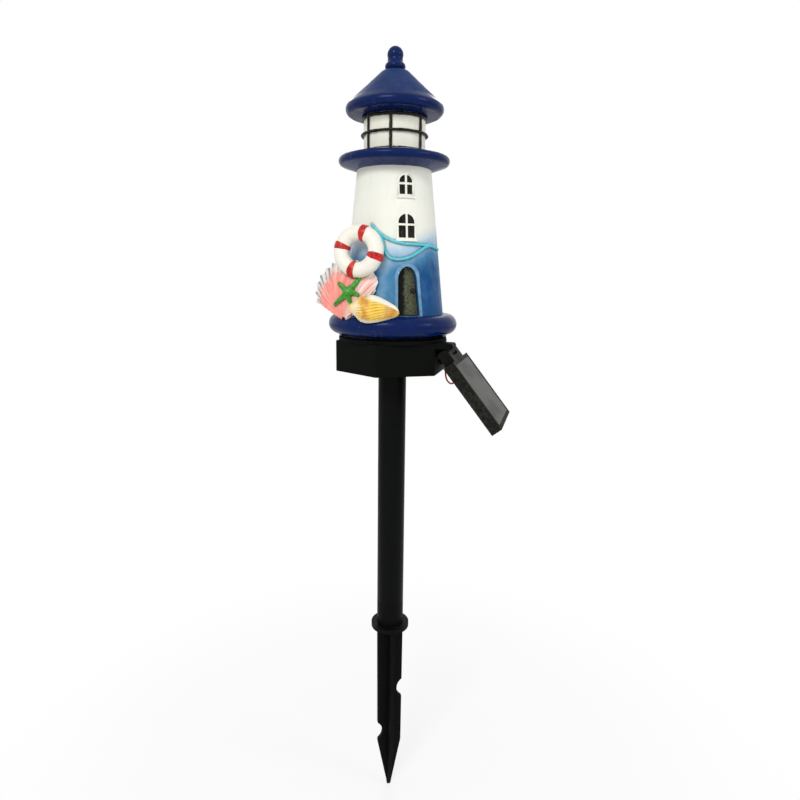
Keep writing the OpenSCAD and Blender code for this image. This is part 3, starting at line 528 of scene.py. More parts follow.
def navyPaint():
    material, tree, shader = newMaterial("navy paint", Specular_IOR_Level=0.10)
    made = brushed(tree, navyLook["paint"], navyLook["thin"], navyLook["streaks"],
                   float(navyLook["stroke"]), navyLook["sheen"], navyLook["lumps"])
    where = objectPlace(tree)
    patch = remap(tree, grain(tree, where, 70.0, 2.0), 0.56, 0.66)
    speck = times(tree, remap(tree, grain(tree, where, 900.0, 3.0), 0.60, 0.70), patch)
    # the cone's greyer colour is a painted reflection of its glaze; it is also made rougher there
    glareAndDull = times(tree, mark(tree, "glareAndDull"),
                  remap(tree, grain(tree, where, 90.0, 3.0), 0.3, 0.7, 0.5, 1.0))
    colour = mixColours(tree, glareAndDull, made.outputs["Color"], navyLook["glareAndDull"])
    colour = mixColours(tree, times(tree, speck, 0.22), colour, navyLook["worn"])
    # the base ring's lowest strip is painted near black: the black seat band as it shows there, and painted
    # shade on the downward bevel
    colour = mixColours(tree, mark(tree, "under"), colour, navyLook["under"])
    dull = times(tree, mark(tree, "glareAndDull"), navyLook["dull"])
    roughness = maths(tree, "ADD", made.outputs["Roughness"], dull, True)
    wire(tree, shader, colour, roughness, made.outputs["Height"], 0.07)
    return material


navy = navyPaint()

roofLook = dict(eaveRadius=3.6, eaveLift=0.6, collarDrop=4.3, beadRadius=2.7, beadOut=4.1, beadLift=3.4,
                domeRadius=5.3, coneTop=9.2, coneHeight=24.0, steps=256)


def makeRoof():
    low, top = drumHigh / mm, roofTop / mm
    collar, drumOut = low - roofLook["collarDrop"], drumRadius / mm
    neck, eave = low + roofLook["coneHeight"], roofLook["eaveRadius"]
    centre = (roofRadius / mm - eave, low + roofLook["eaveLift"])
    across, up = roofLook["coneTop"] - centre[0], neck - centre[1]
    lean = math.atan2(up, across) - math.acos(eave / math.hypot(across, up))  # where the cone leaves the eave
    profile = [(16.4, low - 1.9), (18.5, low - 1.9), (18.5, low), (drumOut + 0.1, low),
               (drumOut + 0.1, collar), (drumOut + 1.6, collar)]
    profile += arcOf(centre, eave, -100, math.degrees(lean), 22)
    foot = profile[-1]
    for i in range(1, 17):
        t = i / 16
        profile.append((foot[0] + (roofLook["coneTop"] - foot[0]) * t, foot[1] + (neck - foot[1]) * t))
    profile += arcOf((roofLook["beadOut"], neck + roofLook["beadLift"]), roofLook["beadRadius"], -50, 62, 12)
    dome = roofLook["domeRadius"]
    profile += arcOf((0, top - dome), dome, -22, 90, 16)
    profile += [(0, neck - 5), (16.4, low + 5)]
    bm = lathe([(r * mm, z * mm) for r, z in profile], roofLook["steps"])
    lumpy(bm, 0.012, 0.00012)
    return keep(bm, "roofCap", "head", navy, ["roof_cap"], sharp=55)


def makeGallery():
    r, z = deckRadius / mm, deckLow / mm
    top = deckHigh / mm
    profile = [(15, z), (topRadius / mm + 0.4, z)]
    profile += arcOf((r - 2.9, z + 5.8), 2.9, -76, 62, 22)
    profile += [(drumRadius / mm + 6, top - 0.5), (drumRadius / mm + 1.2, top), (15, top)]
    bm = lathe([(a * mm, b * mm) for a, b in profile], 256)
    lumpy(bm, 0.010, 0.00012, 4.0)
    return keep(bm, "galleryDeck", "head", navy, ["gallery_deck"], sharp=55)


baseLook = dict(seat=38.0, seatRise=2.1, rounding=0.42, bossRadius=3.4, bossHeight=9.0, bossOut=24.0)


def makeBase():
    r, z, top = baseRadius / mm, baseLow / mm, baseHigh / mm
    rim, foot = towerRadius(baseHigh) / mm, footRadius / mm
    seat, wall = baseLook["seat"], z + baseLook["seatRise"]
    edge = baseLook["rounding"] * (top - z)
    profile = [(seat - 1, z), (seat - 0.4, z + 0.8)]
    profile += arcOf((r - edge, top - edge), edge, -84, 78, 30)
    profile += [(rim + 2.2, top), (rim + 0.1, top), (foot + 0.1, wall), (15, wall), (15, z)]
    bm = lathe([(a * mm, b * mm) for a, b in profile], 288)
    lumpy(bm, 0.013, 0.00014, 9.0)
    for azimuth in (90, 210, 330):
        a, tall = math.radians(azimuth), baseLook["bossHeight"]
        out = baseLook["bossOut"] * mm
        spot = Matrix.Translation((out * math.sin(a), -out * math.cos(a), (wall + tall / 2) * mm))
        bmesh.ops.create_cone(bm, cap_ends=True, segments=40, radius1=baseLook["bossRadius"] * mm,
                              radius2=baseLook["bossRadius"] * mm, depth=tall * mm, matrix=spot)
    return keep(bm, "baseRing", "head", navy, ["base_ring"], sharp=55)


def roofGlareAndDull(p):
    # the cone's glaze is dulled and carries a painted grey reflection, more on the side away from the shells,
    # and its eave and knob have neither
    up = (p.z - drumHigh) / mm
    cone = smoothStep(up, 3.5, 8) * (1 - smoothStep(up, 23, 25))
    return cone * (0.45 + 0.25 * smoothStep(p.x / mm, -12, 10))


roofPiece = makeRoof()
markPoints(roofPiece, "glareAndDull", roofGlareAndDull)
makeGallery()
basePiece = makeBase()
# the lowest strip of the base ring, painted near black as the seat band and as painted shade on the downward
# bevel
markPoints(basePiece, "under", lambda p: smoothStep(p.z / mm, baseLow / mm + 3.2, baseLow / mm + 2.4))

towerLook = dict(white=paint(240, 240, 229), pale=paint(178, 204, 222), mid=paint(68, 130, 172),
                 deep=paint(12, 74, 130), contactShade=paint(26, 44, 54), streaks=0.12, sheen=0.46, lumps=0.8)
doorSpot = dict(azimuth=2.2, width=15.2, height=31.7, foot=0.3, depth=3.4, taper=1.2, rise=9.0, lean=0.7)


def archPoints(width, height, count=20):
    side, rise, lean = width / 2 - doorSpot["taper"], doorSpot["rise"], doorSpot["lean"]
    points = [(lean - width / 2, 0), (lean + width / 2, 0)]
    for i in range(count + 1):
        a = math.pi * i / count
        points.append((side * math.cos(a), height - rise + rise * math.sin(a)))
    return points


def doorCutter():
    # an arch pushed in along the door's azimuth, its back leaning with the tower's wall
    bm = bmesh.new()
    foot = baseHigh + doorSpot["foot"] * mm
    outline = [bm.verts.new((x * mm, -0.060, foot + y * mm))
               for x, y in archPoints(doorSpot["width"], doorSpot["height"])]
    face = bm.faces.new(outline)
    pushed = bmesh.ops.extrude_face_region(bm, geom=[face])
    for v in [g for g in pushed["geom"] if isinstance(g, bmesh.types.BMVert)]:
        v.co.y = -(towerRadius(v.co.z) - (doorSpot["depth"] + 1.0) * mm)
    bmesh.ops.recalc_face_normals(bm, faces=bm.faces)
    turnPoints(bm, bm.verts, doorSpot["azimuth"], "Z")
    mesh = bpy.data.meshes.new("doorCutter")
    bm.to_mesh(mesh)
    bm.free()
    cutter = bpy.data.objects.new("doorCutter", mesh)
    link(cutter)
    return cutter


def makeTower(material):
    rows = 132
    wall, thick, thickTop = 2.6 * mm, 6.4 * mm, baseHigh + 0.036
    outer = []
    for i in range(rows + 1):
        z = towerLow + (towerHigh - towerLow) * i / rows
        outer.append((towerRadius(z), z))
    inner = [(0.015, towerHigh), (0.015, towerHigh - wall),
             (towerRadius(towerHigh - wall) - wall, towerHigh - wall),
             (towerRadius(thickTop + 0.006) - wall, thickTop + 0.006),
             (towerRadius(thickTop) - thick, thickTop), (towerRadius(baseHigh) - thick, baseHigh - 0.002),
             (towerRadius(towerLow) - wall, towerLow + 0.002), (towerRadius(towerLow) - wall, towerLow)]
    bm = lathe(outer + inner, 320)
    tower = keep(bm, "towerShell", "head", material, ["tower_shell"])
    cutter = doorCutter()
    cut = tower.modifiers.new("door", "BOOLEAN")
    cut.object, cut.solver, cut.operation = cutter, "EXACT", "DIFFERENCE"
    settle(tower, 40)
    bpy.data.objects.remove(cutter)
    return tower


def blueWash(p):
    # how far the blue mist reaches up the tower, 0 white to 1 deepest blue
    azimuth = azimuthOf(p)
    z = (p.z - housingHigh) / mm
    around = math.radians(azimuth)
    drift = 3.0 * noise.noise(Vector((2.2 * math.sin(around), 2.2 * math.cos(around), z / 30)))
    front = smoothStep(abs(azimuth), 150, 90)
    edge = 73 + 5 * front * smoothStep(azimuth, 5, 45) + drift
    depth = smoothStep(z, edge, edge - 32)
    glow = 0.30 * math.exp(-((azimuth + 26) / 14) ** 2) + 0.12 * math.exp(-((azimuth - 2) / 12) ** 2)
    deep = 0.34 * math.exp(-((azimuth - 36) / 22) ** 2 - ((z - 36) / 26) ** 2)
    return min(1.0, max(0.0, depth * (0.84 - glow) + depth * deep))


def towerPaint():
    material, tree, shader = newMaterial("tower paint", Specular_IOR_Level=0.12)
    blue = mark(tree, "blueWash")
    where = objectPlace(tree)
    uneven = maths(tree, "MULTIPLY",
                   remap(tree, grain(tree, where, 120.0, 4.0, 0.6), 0.2, 0.8, -0.5, 0.5), 0.16)
    blue = maths(tree, "ADD", blue, times(tree, uneven, remap(tree, blue, 0.02, 0.3)), True)
    ramp = put(tree, "ValToRGB", {}, {"Fac": blue})
    stops = ramp.color_ramp.elements
    stops[0].color, stops[1].color = towerLook["white"], towerLook["deep"]
    for place, colour in ((0.22, towerLook["pale"]), (0.62, towerLook["mid"])):
        stops.new(place).color = colour
    made = brushed(tree, ramp.outputs["Color"], towerLook["pale"], towerLook["streaks"], 170.0,
                   towerLook["sheen"], towerLook["lumps"])
    # painted shade where another piece touches the tower
    contactShaded = times(tree, mark(tree, "contact"),
                   remap(tree, grain(tree, where, 500.0, 3.0), 0.3, 0.6, 0.5, 1.0), True)
    colour = mixColours(tree, contactShaded, made.outputs["Color"], towerLook["contactShade"])
    wireMade(tree, shader, made, 0.10, colour)
    return material


tower = makeTower(towerPaint())
markPoints(tower, "blueWash", blueWash)
print("roof, gallery, base and tower ready")


lanternLook = dict(pane=paint(243, 241, 226), grimeAndShade=paint(150, 148, 128), bar=paint(9, 9, 7),
                   barStreakAndHighlight=paint(58, 48, 26), bars=(-68, -21, 38.5, 98, 160, 226), barWidth=2.0)


def panePaint():
    material, tree, shader = newMaterial("lantern panes", Specular_IOR_Level=0.4)
    where = objectPlace(tree)
    made = brushed(tree, lanternLook["pane"], paint(230, 230, 214), 0.5, 230.0, 0.40, 0.6)
    # speckled grime from noise, and beside the bars painted shade from the contact mark
    grimeAndShade = remap(tree, grain(tree, where, 700.0, 4.0, 0.7), 0.66, 0.78)
    grimeAndShade = maths(tree, "MAXIMUM", times(tree, grimeAndShade, 0.5),
                  times(tree, mark(tree, "contact"), 0.55))
    colour = mixColours(tree, grimeAndShade, made.outputs["Color"], lanternLook["grimeAndShade"])
    wireMade(tree, shader, made, 0.08, colour)
    return material


def barPaint(name, base, worn, amount=0.75, shine=0.2):
    # worn colours the brushed streaks and also a painted highlight on ridges and edges
    material, tree, shader = newMaterial(name, Specular_IOR_Level=shine)
    made = brushed(tree, base, worn, amount, 520.0, 0.36, 0.7)
    highlit = paintedEdgeHighlight(tree, made.outputs["Color"], worn, 0.52, 0.60, amount)
    wireMade(tree, shader, made, 0.10, highlit)
    return material


def makeDrum():
    inner = drumRadius - 2 * mm
    rows = 44
    outer = []
    for i in range(rows + 1):
        outer.append((drumRadius, deckHigh + (drumHigh - deckHigh) * i / rows))
    bm = lathe(outer + [(inner, drumHigh), (inner, deckHigh)], 224)
    return keep(bm, "lanternDrum", "head", panePaint(), ["lantern_diffuser"])


def makeLanternFrame():
    base = deckHigh / mm
    out = drumRadius / mm
    rings = ((0.05, 1.25, 0.9), (10.2, 11.9, 1.9), (19.9, 22.0, 1.3))
    bm = bmesh.new()
    for low, high, proud in rings:
        half = (high - low) / 2
        reach = max(proud, 0.2)
        loop = []
        for i in range(14):
            a = 2 * math.pi * i / 14
            r = out + 0.05 + reach / 2 + reach / 2 * math.cos(a)
            loop.append(bm.verts.new((r * mm, 0, (base + low + half + half * math.sin(a)) * mm)))
        edges = [bm.edges.new((loop[i], loop[(i + 1) % 14])) for i in range(14)]
        spinRound(bm, loop + edges, 200)
    low, high = base + 0.1, base + rings[-1][1] - 0.1
    for azimuth in lanternLook["bars"]:
        before = set(bm.verts)
        made = bmesh.ops.create_circle(bm, cap_ends=True, segments=18, radius=1.0)["verts"]
        bmesh.ops.scale(bm, verts=made, vec=(lanternLook["barWidth"] / 2 * mm, 0.72 * mm, 1))
        bmesh.ops.translate(bm, verts=made, vec=(0, -(out + 0.55) * mm, low * mm))
        cap = [made[0].link_faces[0]]
        for step in range(28):
            grown = bmesh.ops.extrude_face_region(bm, geom=cap)["geom"]
            cap = [g for g in grown if isinstance(g, bmesh.types.BMFace)]
            top = [g for g in grown if isinstance(g, bmesh.types.BMVert)]
            bmesh.ops.translate(bm, verts=top, vec=(0, 0, (high - low) / 28 * mm))
        every = [v for v in bm.verts if v not in before]
        turnPoints(bm, every, azimuth, "Z")
    bmesh.ops.recalc_face_normals(bm, faces=bm.faces)
    lumpy(bm, 0.0022, 0.00020, 3.0)
    # black bars with olive brushed streaks and a painted highlight on their ridges
    bars = barPaint("lantern bars", lanternLook["bar"], lanternLook["barStreakAndHighlight"])
    return keep(bm, "lanternFrame", "head", bars, ["lantern_frame"], sharp=50)


drum = makeDrum()
lanternFrame = makeLanternFrame()
# marks the painted shade on the panes beside the bars
markContact(drum, [lanternFrame], 0.9 * mm)
print("lantern ready")


trimLook = dict(white=paint(243, 242, 232), shade=paint(176, 180, 178), pane=paint(8, 8, 7),
                streak=paint(78, 80, 58), doorShadow=paint(8, 9, 7), doorLight=paint(92, 96, 74),
                surround=paint(100, 152, 186), surroundDeep=paint(52, 106, 150))


def doorPaint():
    # painted shadow: black on its left third, where the niche's side wall shades it, and along its rim inside
    # the niche; olive grey over the rest
    material, tree, shader = newMaterial("door paint", Specular_IOR_Level=0.12)
    where = objectPlace(tree)
    across = put(tree, "SeparateXYZ", {}, {0: where})
    wander = times(tree, remap(tree, grain(tree, where, 420.0, 3.0), 0.2, 0.8, -0.5, 0.5), 0.0016)
    side = remap(tree, maths(tree, "ADD", across.outputs[0], wander), -0.0014, 0.0006)
    spotted = remap(tree, grain(tree, where, 900.0, 5.0, 0.7), 0.36, 0.60, 0.35, 1.0)
    # the rim's black is painted shade where the niche walls come close
    rim = remap(tree, mark(tree, "contact"), 0.22, 0.50, 1.0, 0.0)
    share = times(tree, times(tree, side, spotted), rim)
    colour = mixColours(tree, share, trimLook["doorShadow"], trimLook["doorLight"])
    height = grain(tree, stretched(tree, where, (1, 1, 0.25)), 1100.0, 4.0, 0.6)
    wire(tree, shader, colour, remap(tree, spotted, 0.0, 1.0, 0.42, 0.62), height, 0.22)
    return material


def surroundPaint():
    material, tree, shader = newMaterial("surround paint", Specular_IOR_Level=0.4)
    where = objectPlace(tree)
    shade = remap(tree, grain(tree, where, 150.0, 3.0), 0.3, 0.7)
    base = mixColours(tree, shade, trimLook["surroundDeep"], trimLook["surround"])
    # a painted highlight on the surround's ridges
    highlit = paintedEdgeHighlight(tree, base, paint(150, 190, 214), 0.51, 0.58, 0.8)
    made = brushed(tree, highlit, trimLook["surround"], 0.3, 300.0, 0.42, 0.6)
    wireMade(tree, shader, made, 0.10)
    return material


def trimPaint():
    material, tree, shader = newMaterial("window trim", Specular_IOR_Level=0.4)
    made = brushed(tree, trimLook["white"], trimLook["shade"], 0.30, 380.0, 0.44, 0.6)
    wireMade(tree, shader, made, 0.08)
    return material


doorFinish = doorPaint()
surroundFinish = surroundPaint()
trimFinish = trimPaint()
# black panes with olive brushed streaks and a painted highlight on their edges
paneFinish = barPaint("window panes", trimLook["pane"], trimLook["streak"], 0.40, 0.12)
doorLeaf = softened("door_leaf", "doorLeaf", "head", doorFinish, 0.25)
finer(doorLeaf, 7)
# marks the door's rim for its painted shade inside the niche
markContact(doorLeaf, [tower], 1.3 * mm)
softened("door_surround", "doorSurround", "head", surroundFinish, 0.35)
for level in ("upper", "lower"):
    softened(f"{level}_window_frame", f"{level}WindowFrame", "head", trimFinish, 0.22)
    softened(f"{level}_window_panes", f"{level}WindowPanes", "head", paneFinish, 0.08)

knobLook = dict(height=16.5, azimuth=9.6, depth=2.4)


def makeKnob():
    z = baseHigh + knobLook["height"] * mm
    bm = bmesh.new()
    outline = [(0, 0), (1.55, 0), (1.65, 0.3), (1.0, 0.5), (0.8, 0.85), (1.3, 1.2), (1.6, 1.65), (1.3, 2.2),
               (0.7, 2.3), (0.45, 2.0), (0, 1.95)]
    verts = [bm.verts.new((r * mm, 0, h * mm)) for r, h in outline]
    edges = [bm.edges.new(pair) for pair in zip(verts, verts[1:])]
    spinRound(bm, verts + edges, 28)
    bmesh.ops.remove_doubles(bm, verts=bm.verts, dist=1e-6)
    turnPoints(bm, bm.verts, 90, "X")
    bmesh.ops.translate(bm, verts=bm.verts, vec=(0, -(towerRadius(z) - (knobLook["depth"] - 0.02) * mm), z))
    turnPoints(bm, bm.verts, knobLook["azimuth"], "Z")
    # a black knob with a painted highlight on its ridges
    keep(bm, "doorKnob", "head",
                barPaint("knob paint", paint(5, 5, 4), paint(74, 76, 60), 0.25), ["door_knob"], 60)


makeKnob()
print("door and windows ready")


def reliefFrame(place, yaw, lean, roll=0.0):
    # the turned arrangement, then the piece's own place and lean; z comes out of the tower
    return (Matrix.Rotation(reliefTurn, 4, "Z") @ Matrix.Translation(place)
            @ Matrix.Rotation(math.radians(yaw), 4, "Z")
            @ Matrix.Rotation(math.radians(90 - lean), 4, "X")
            @ Matrix.Rotation(math.radians(roll), 4, "Z"))


ringLook = dict(height=59.0, azimuth=-35.8, off=7.45, yaw=-19, lean=8, radius=11.8, tube=5.1,
                bandTurn=-15, bandArc=24, bandRise=0.34, white=paint(244, 240, 228), contactShade=paint(98, 104, 88),
                red=paint(206, 18, 28), redHighlight=paint(238, 96, 58), redDark=paint(156, 8, 16))
ringHeight = housingHigh + ringLook["height"] * mm
ringOut = towerRadius(ringHeight) + ringLook["off"] * mm
ringAngle = math.radians(ringLook["azimuth"])
ringFrame = reliefFrame(Vector((ringOut * math.sin(ringAngle), -ringOut * math.cos(ringAngle), ringHeight)),
                        ringLook["yaw"], ringLook["lean"])


def makeLifeRing(material):
    bm = bmesh.new()
    made = bmesh.ops.create_circle(bm, segments=56, radius=ringLook["tube"] * mm)["verts"]
    turnPoints(bm, made, 90, "X")
    bmesh.ops.translate(bm, verts=made, vec=(ringLook["radius"] * mm, 0, 0))
    spinRound(bm, bm.verts[:] + bm.edges[:], 144)
    bmesh.ops.recalc_face_normals(bm, faces=bm.faces)
    lumpy(bm, 0.0045, 0.00016, 7.0)
    bmesh.ops.transform(bm, matrix=ringFrame, verts=bm.verts)
    pushOut(bm, 0.1 * mm)
    return keep(bm, "lifeRing", "head", material, ["life_ring"], sharp=60)


def makeBands(material):
    # each band is a sleeve round the tube whose edges turn down into it
    bm = bmesh.new()
    rise = (-0.25, 0.12, 0.28, 0.34, 0.34, 0.34, 0.34, 0.34, 0.34, 0.28, 0.12, -0.25)
    for k in range(4):
        middle = ringLook["bandTurn"] + 90 * k
        loops = []
        for i, up in enumerate(rise):
            part = i / (len(rise) - 1) - 0.5
            loop = []
            for j in range(56):
                a = 2 * math.pi * j / 56
                tube = (ringLook["tube"] + up * ringLook["bandRise"] / 0.34) * mm
                out = ringLook["radius"] * mm + tube * math.cos(a)
                flat = 1 - 0.22 * max(0.0, math.cos(a))  # narrower at the ring's outside, as a strap looks
                wander = 0.9 * noise.noise(Vector((math.cos(a), math.sin(a), k * 3 + (5 if part > 0 else 0))))
                turn = math.radians(middle + ringLook["bandArc"] * part * flat + wander * 2 * abs(part))
                loop.append(bm.verts.new((out * math.cos(turn), out * math.sin(turn), tube * math.sin(a))))
            loops.append(loop)
        edges = [[bm.edges.new((lp[j], lp[(j + 1) % 56])) for j in range(56)] for lp in loops]
        for one, two in zip(edges, edges[1:]):
            bmesh.ops.bridge_loops(bm, edges=one + two)
        bmesh.ops.holes_fill(bm, edges=edges[0] + edges[-1], sides=0)
    bmesh.ops.recalc_face_normals(bm, faces=bm.faces)
    bmesh.ops.transform(bm, matrix=ringFrame, verts=bm.verts)
    pushOut(bm, 0.06 * mm)
    return keep(bm, "lifeRingBands", "head", material, ["life_ring_bands"], sharp=60)


def ringPaint():
    material, tree, shader = newMaterial("life ring paint", Specular_IOR_Level=0.42)
    made = brushed(tree, ringLook["white"], paint(226, 222, 206), 0.4, 240.0, 0.36, 0.8)
    # painted shade where the tower, shells and rope touch the ring
    contactShade = times(tree, mark(tree, "contact"), 0.95)
    colour = mixColours(tree, contactShade, made.outputs["Color"], ringLook["contactShade"])
    wireMade(tree, shader, made, 0.12, colour)
    return material


def bandPaint():
    material, tree, shader = newMaterial("band paint", Specular_IOR_Level=0.3, Coat_Weight=0.1,
                                         Coat_Roughness=0.15)
    where = objectPlace(tree)
    dark = remap(tree, grain(tree, where, 300.0, 3.0), 0.40, 0.62)
    base = mixColours(tree, dark, ringLook["redDark"], ringLook["red"])
    # the orange strokes over the red are a painted highlight
    made = brushed(tree, base, ringLook["redHighlight"], 0.75, 420.0, 0.26, 0.9)
    wireMade(tree, shader, made, 0.14)
    return material


lifeRing = makeLifeRing(ringPaint())
bands = makeBands(bandPaint())

scallopLook = dict(place=(-32, -28), below=-3.6, yaw=-22, lean=10, turn=2, half=57, ribs=13, radius=40,
                   longest=0.12, bow=0.32, cornerAt=0.77, corner=2.6, swell=7.5, rib=0.36, fine=0.22,
                   thick=1.7, pink=paint(250, 132, 122), rose=paint(250, 176, 160),
                   rim=paint(240, 226, 216), teal=paint(96, 152, 160), contactShade=paint(96, 84, 92))
scallopFrame = reliefFrame(Vector((scallopLook["place"][0] * mm, scallopLook["place"][1] * mm,
                                   baseHigh + scallopLook["below"] * mm)),
                           scallopLook["yaw"], scallopLook["lean"], scallopLook["turn"])


def scallopEdge(u):
    fan = 1 - scallopLook["bow"] * (u - scallopLook["longest"]) ** 2
    return scallopLook["radius"] * fan * (1 - scallopLook["corner"] * max(0.0, u - scallopLook["cornerAt"]))


def scallopSwell(q, u):
    return scallopLook["swell"] * math.sin(math.radians(165 * max(q, 0.0) ** 0.75)) * (1 - 0.55 * u * u)


def scallopHeight(x, y):
    u = math.degrees(math.atan2(x, y)) / scallopLook["half"]
    return scallopSwell(math.hypot(x, y) / scallopEdge(u), u)


def makeScallop(material):
    columns, rows = 286, 84
    bm = bmesh.new()
    layer = bm.loops.layers.uv.new("UVMap")
    bmesh.ops.create_grid(bm, x_segments=columns, y_segments=rows, size=1.0)
    spots = {}
    for v in bm.verts:
        u, q = v.co.x, 0.06 + 0.94 * (v.co.y + 1) / 2
        spots[v.index] = (u, q)
        wave = math.cos(math.pi * (u + 1) * scallopLook["ribs"])
        ridge = math.copysign(abs(wave) ** 0.75, wave)
        growth = 0.10 * math.sin(46 * q + 2.0 * noise.noise(Vector((u * 4, q * 3, 0)))) * q
        angle = math.radians(scallopLook["half"] * u)
        chip = 0.010 * noise.noise(Vector((u * 7, 1.5, 0)))
        r = scallopEdge(u) * (1 + 0.009 * wave + chip) * q
        fine = math.cos(math.pi * (u + 1) * scallopLook["ribs"] * 2)
        lift = scallopSwell(q, u) + (scallopLook["rib"] * ridge + scallopLook["fine"] * fine) * q + growth
        lift += 0.9 * smoothStep(q, 0.90, 1.0) * (0.4 + 0.6 * wave)  # the rim turns up a little
        v.co = Vector((r * math.sin(angle) * mm, r * math.cos(angle) * mm, lift * mm))
    for face in bm.faces:
        for loop in face.loops:
            u, q = spots[loop.vert.index]
            loop[layer].uv = ((u + 1) / 2, q)
    bmesh.ops.transform(bm, matrix=scallopFrame, verts=bm.verts)
    bmesh.ops.recalc_face_normals(bm, faces=bm.faces)
    out = scallopFrame.to_3x3() @ Vector((0, 0, 1))
    bm.normal_update()
    if sum(f.normal.dot(out) for f in bm.faces) < 0:
        bmesh.ops.reverse_faces(bm, faces=bm.faces)
    shell = keep(bm, "scallopShell", "head", material, ["scallop_shell"], recalc=False)
    wall = shell.modifiers.new("wall", "SOLIDIFY")
    wall.thickness, wall.offset = scallopLook["thick"] * mm, -1.0
    settle(shell, 60)
    bm = bmesh.new()
    bm.from_mesh(shell.data)
    pushOut(bm, 0.1 * mm)
    bm.to_mesh(shell.data)
    bm.free()
    return shell


def scallopPaint():
    material, tree, shader = newMaterial("scallop paint", Specular_IOR_Level=0.4)
    u, q = ownMap(tree)
    where = objectPlace(tree)
    wobble = times(tree, remap(tree, grain(tree, where, 160.0, 3.0), 0.2, 0.8, -0.5, 0.5), 0.24)
    reach = maths(tree, "ADD", q, wobble)
    toRim = remap(tree, reach, 0.70, 0.99)
    right = remap(tree, u, 0.60, 0.80)  # the side by the tower is left whiter
    streak = grain(tree, put(tree, "CombineXYZ", {}, {0: times(tree, u, 60.0),
                                                        1: times(tree, q, 2.0)}).outputs[0], 1.0, 3.0)
    whiter = times(tree, right, remap(tree, streak, 0.35, 0.60, 0.25, 0.90))
    pale = maths(tree, "MAXIMUM", toRim, whiter)
    rose = mixColours(tree, remap(tree, streak, 0.40, 0.64), scallopLook["pink"], scallopLook["rose"])
    colour = mixColours(tree, pale, rose, scallopLook["rim"])
    ribs = maths(tree, "COSINE", times(tree, u, 2 * math.pi * scallopLook["ribs"] * 1.5))
    groove = remap(tree, ribs, 0.1, -0.85)
    leftRim = times(tree, remap(tree, reach, 0.68, 0.84), remap(tree, u, 0.62, 0.34))
    tint = times(tree, times(tree, groove, leftRim),
                 remap(tree, grain(tree, where, 330.0, 3.0), 0.30, 0.52, 0.2, 1.0))
    colour = mixColours(tree, tint, colour, scallopLook["teal"])
    # painted shade where the ring, starfish, whelk and base touch the scallop
    contactShade = times(tree, mark(tree, "contact"), 0.7)
    colour = mixColours(tree, contactShade, colour, scallopLook["contactShade"])
    made = brushed(tree, colour, scallopLook["rim"], 0.22, 520.0, 0.42, 0.7)
    wireMade(tree, shader, made, 0.12)
    return material


scallop = makeScallop(scallopPaint())

starLook = dict(place=(5.5, 17.8), arms=((140, 9.0), (56, 13.6), (-16, 6.6), (284, 6.9), (219, 12.2)),
                root=2.35, tip=1.2, green=paint(40, 160, 12),
                light=paint(150, 226, 58), dark=paint(12, 104, 22))


def makeStar(material):
    random.seed(11)
    bm = bmesh.new()
    cx, cy = starLook["place"]
    for direction, length in starLook["arms"]:
        a = math.radians(direction)
        along, across = Vector((math.cos(a), math.sin(a))), Vector((-math.sin(a), math.cos(a)))
        bend = random.uniform(-0.7, 0.7)
        for i in range(15):
            t = i / 14
            curl = bend * math.sin(math.pi * t * 0.9)
            x, y = Vector((cx, cy)) + along * length * t + across * curl
            r = starLook["root"] * (1 - t) + starLook["tip"] * t
            spot = Matrix.Translation((x * mm, y * mm, (scallopHeight(x, y) + 0.55 * r) * mm))
            bmesh.ops.create_icosphere(bm, subdivisions=2, radius=r * mm,
                                       matrix=spot @ Matrix.Diagonal((1, 1, 0.8, 1)))
            for side in (-0.62, 0.0, 0.62):
                if i % 2 == (side == 0.0):
                    continue
                nx, ny = x + across.x * side * r, y + across.y * side * r
                top = scallopHeight(nx, ny) + (0.55 + 0.78 * math.sqrt(1 - side * side)) * r
                bead = Matrix.Translation((nx * mm, ny * mm, top * mm))
                bmesh.ops.create_icosphere(bm, subdivisions=1, radius=random.uniform(0.30, 0.46) * mm,
                                           matrix=bead)
    bmesh.ops.transform(bm, matrix=scallopFrame, verts=bm.verts)
    star = keep(bm, "starfish", "head", material, ["starfish"], recalc=False)
    star.name = "starFish"
    melt = star.modifiers.new("melt", "REMESH")
    melt.mode, melt.voxel_size, melt.use_smooth_shade = "VOXEL", 0.19 * mm, True
    soften = star.modifiers.new("soften", "SMOOTH")
    soften.factor, soften.iterations = 0.5, 3
    settle(star, 80)
    if not star.data.materials:
        star.data.materials.append(material)
    return star


def starPaint():
    material, tree, shader = newMaterial("starfish paint", Specular_IOR_Level=0.5)
    where = objectPlace(tree)
    mottle = remap(tree, grain(tree, where, 900.0, 3.0), 0.40, 0.60)
    base = mixColours(tree, mottle, starLook["dark"], starLook["green"])
    # the light green on bumps and ridges is a painted highlight
    highlit = paintedEdgeHighlight(tree, base, starLook["light"], 0.515, 0.60, 0.8)
    made = brushed(tree, highlit, starLook["light"], 0.3, 800.0, 0.34, 0.6)
    wireMade(tree, shader, made, 0.12)
    return material


star = makeStar(starPaint())

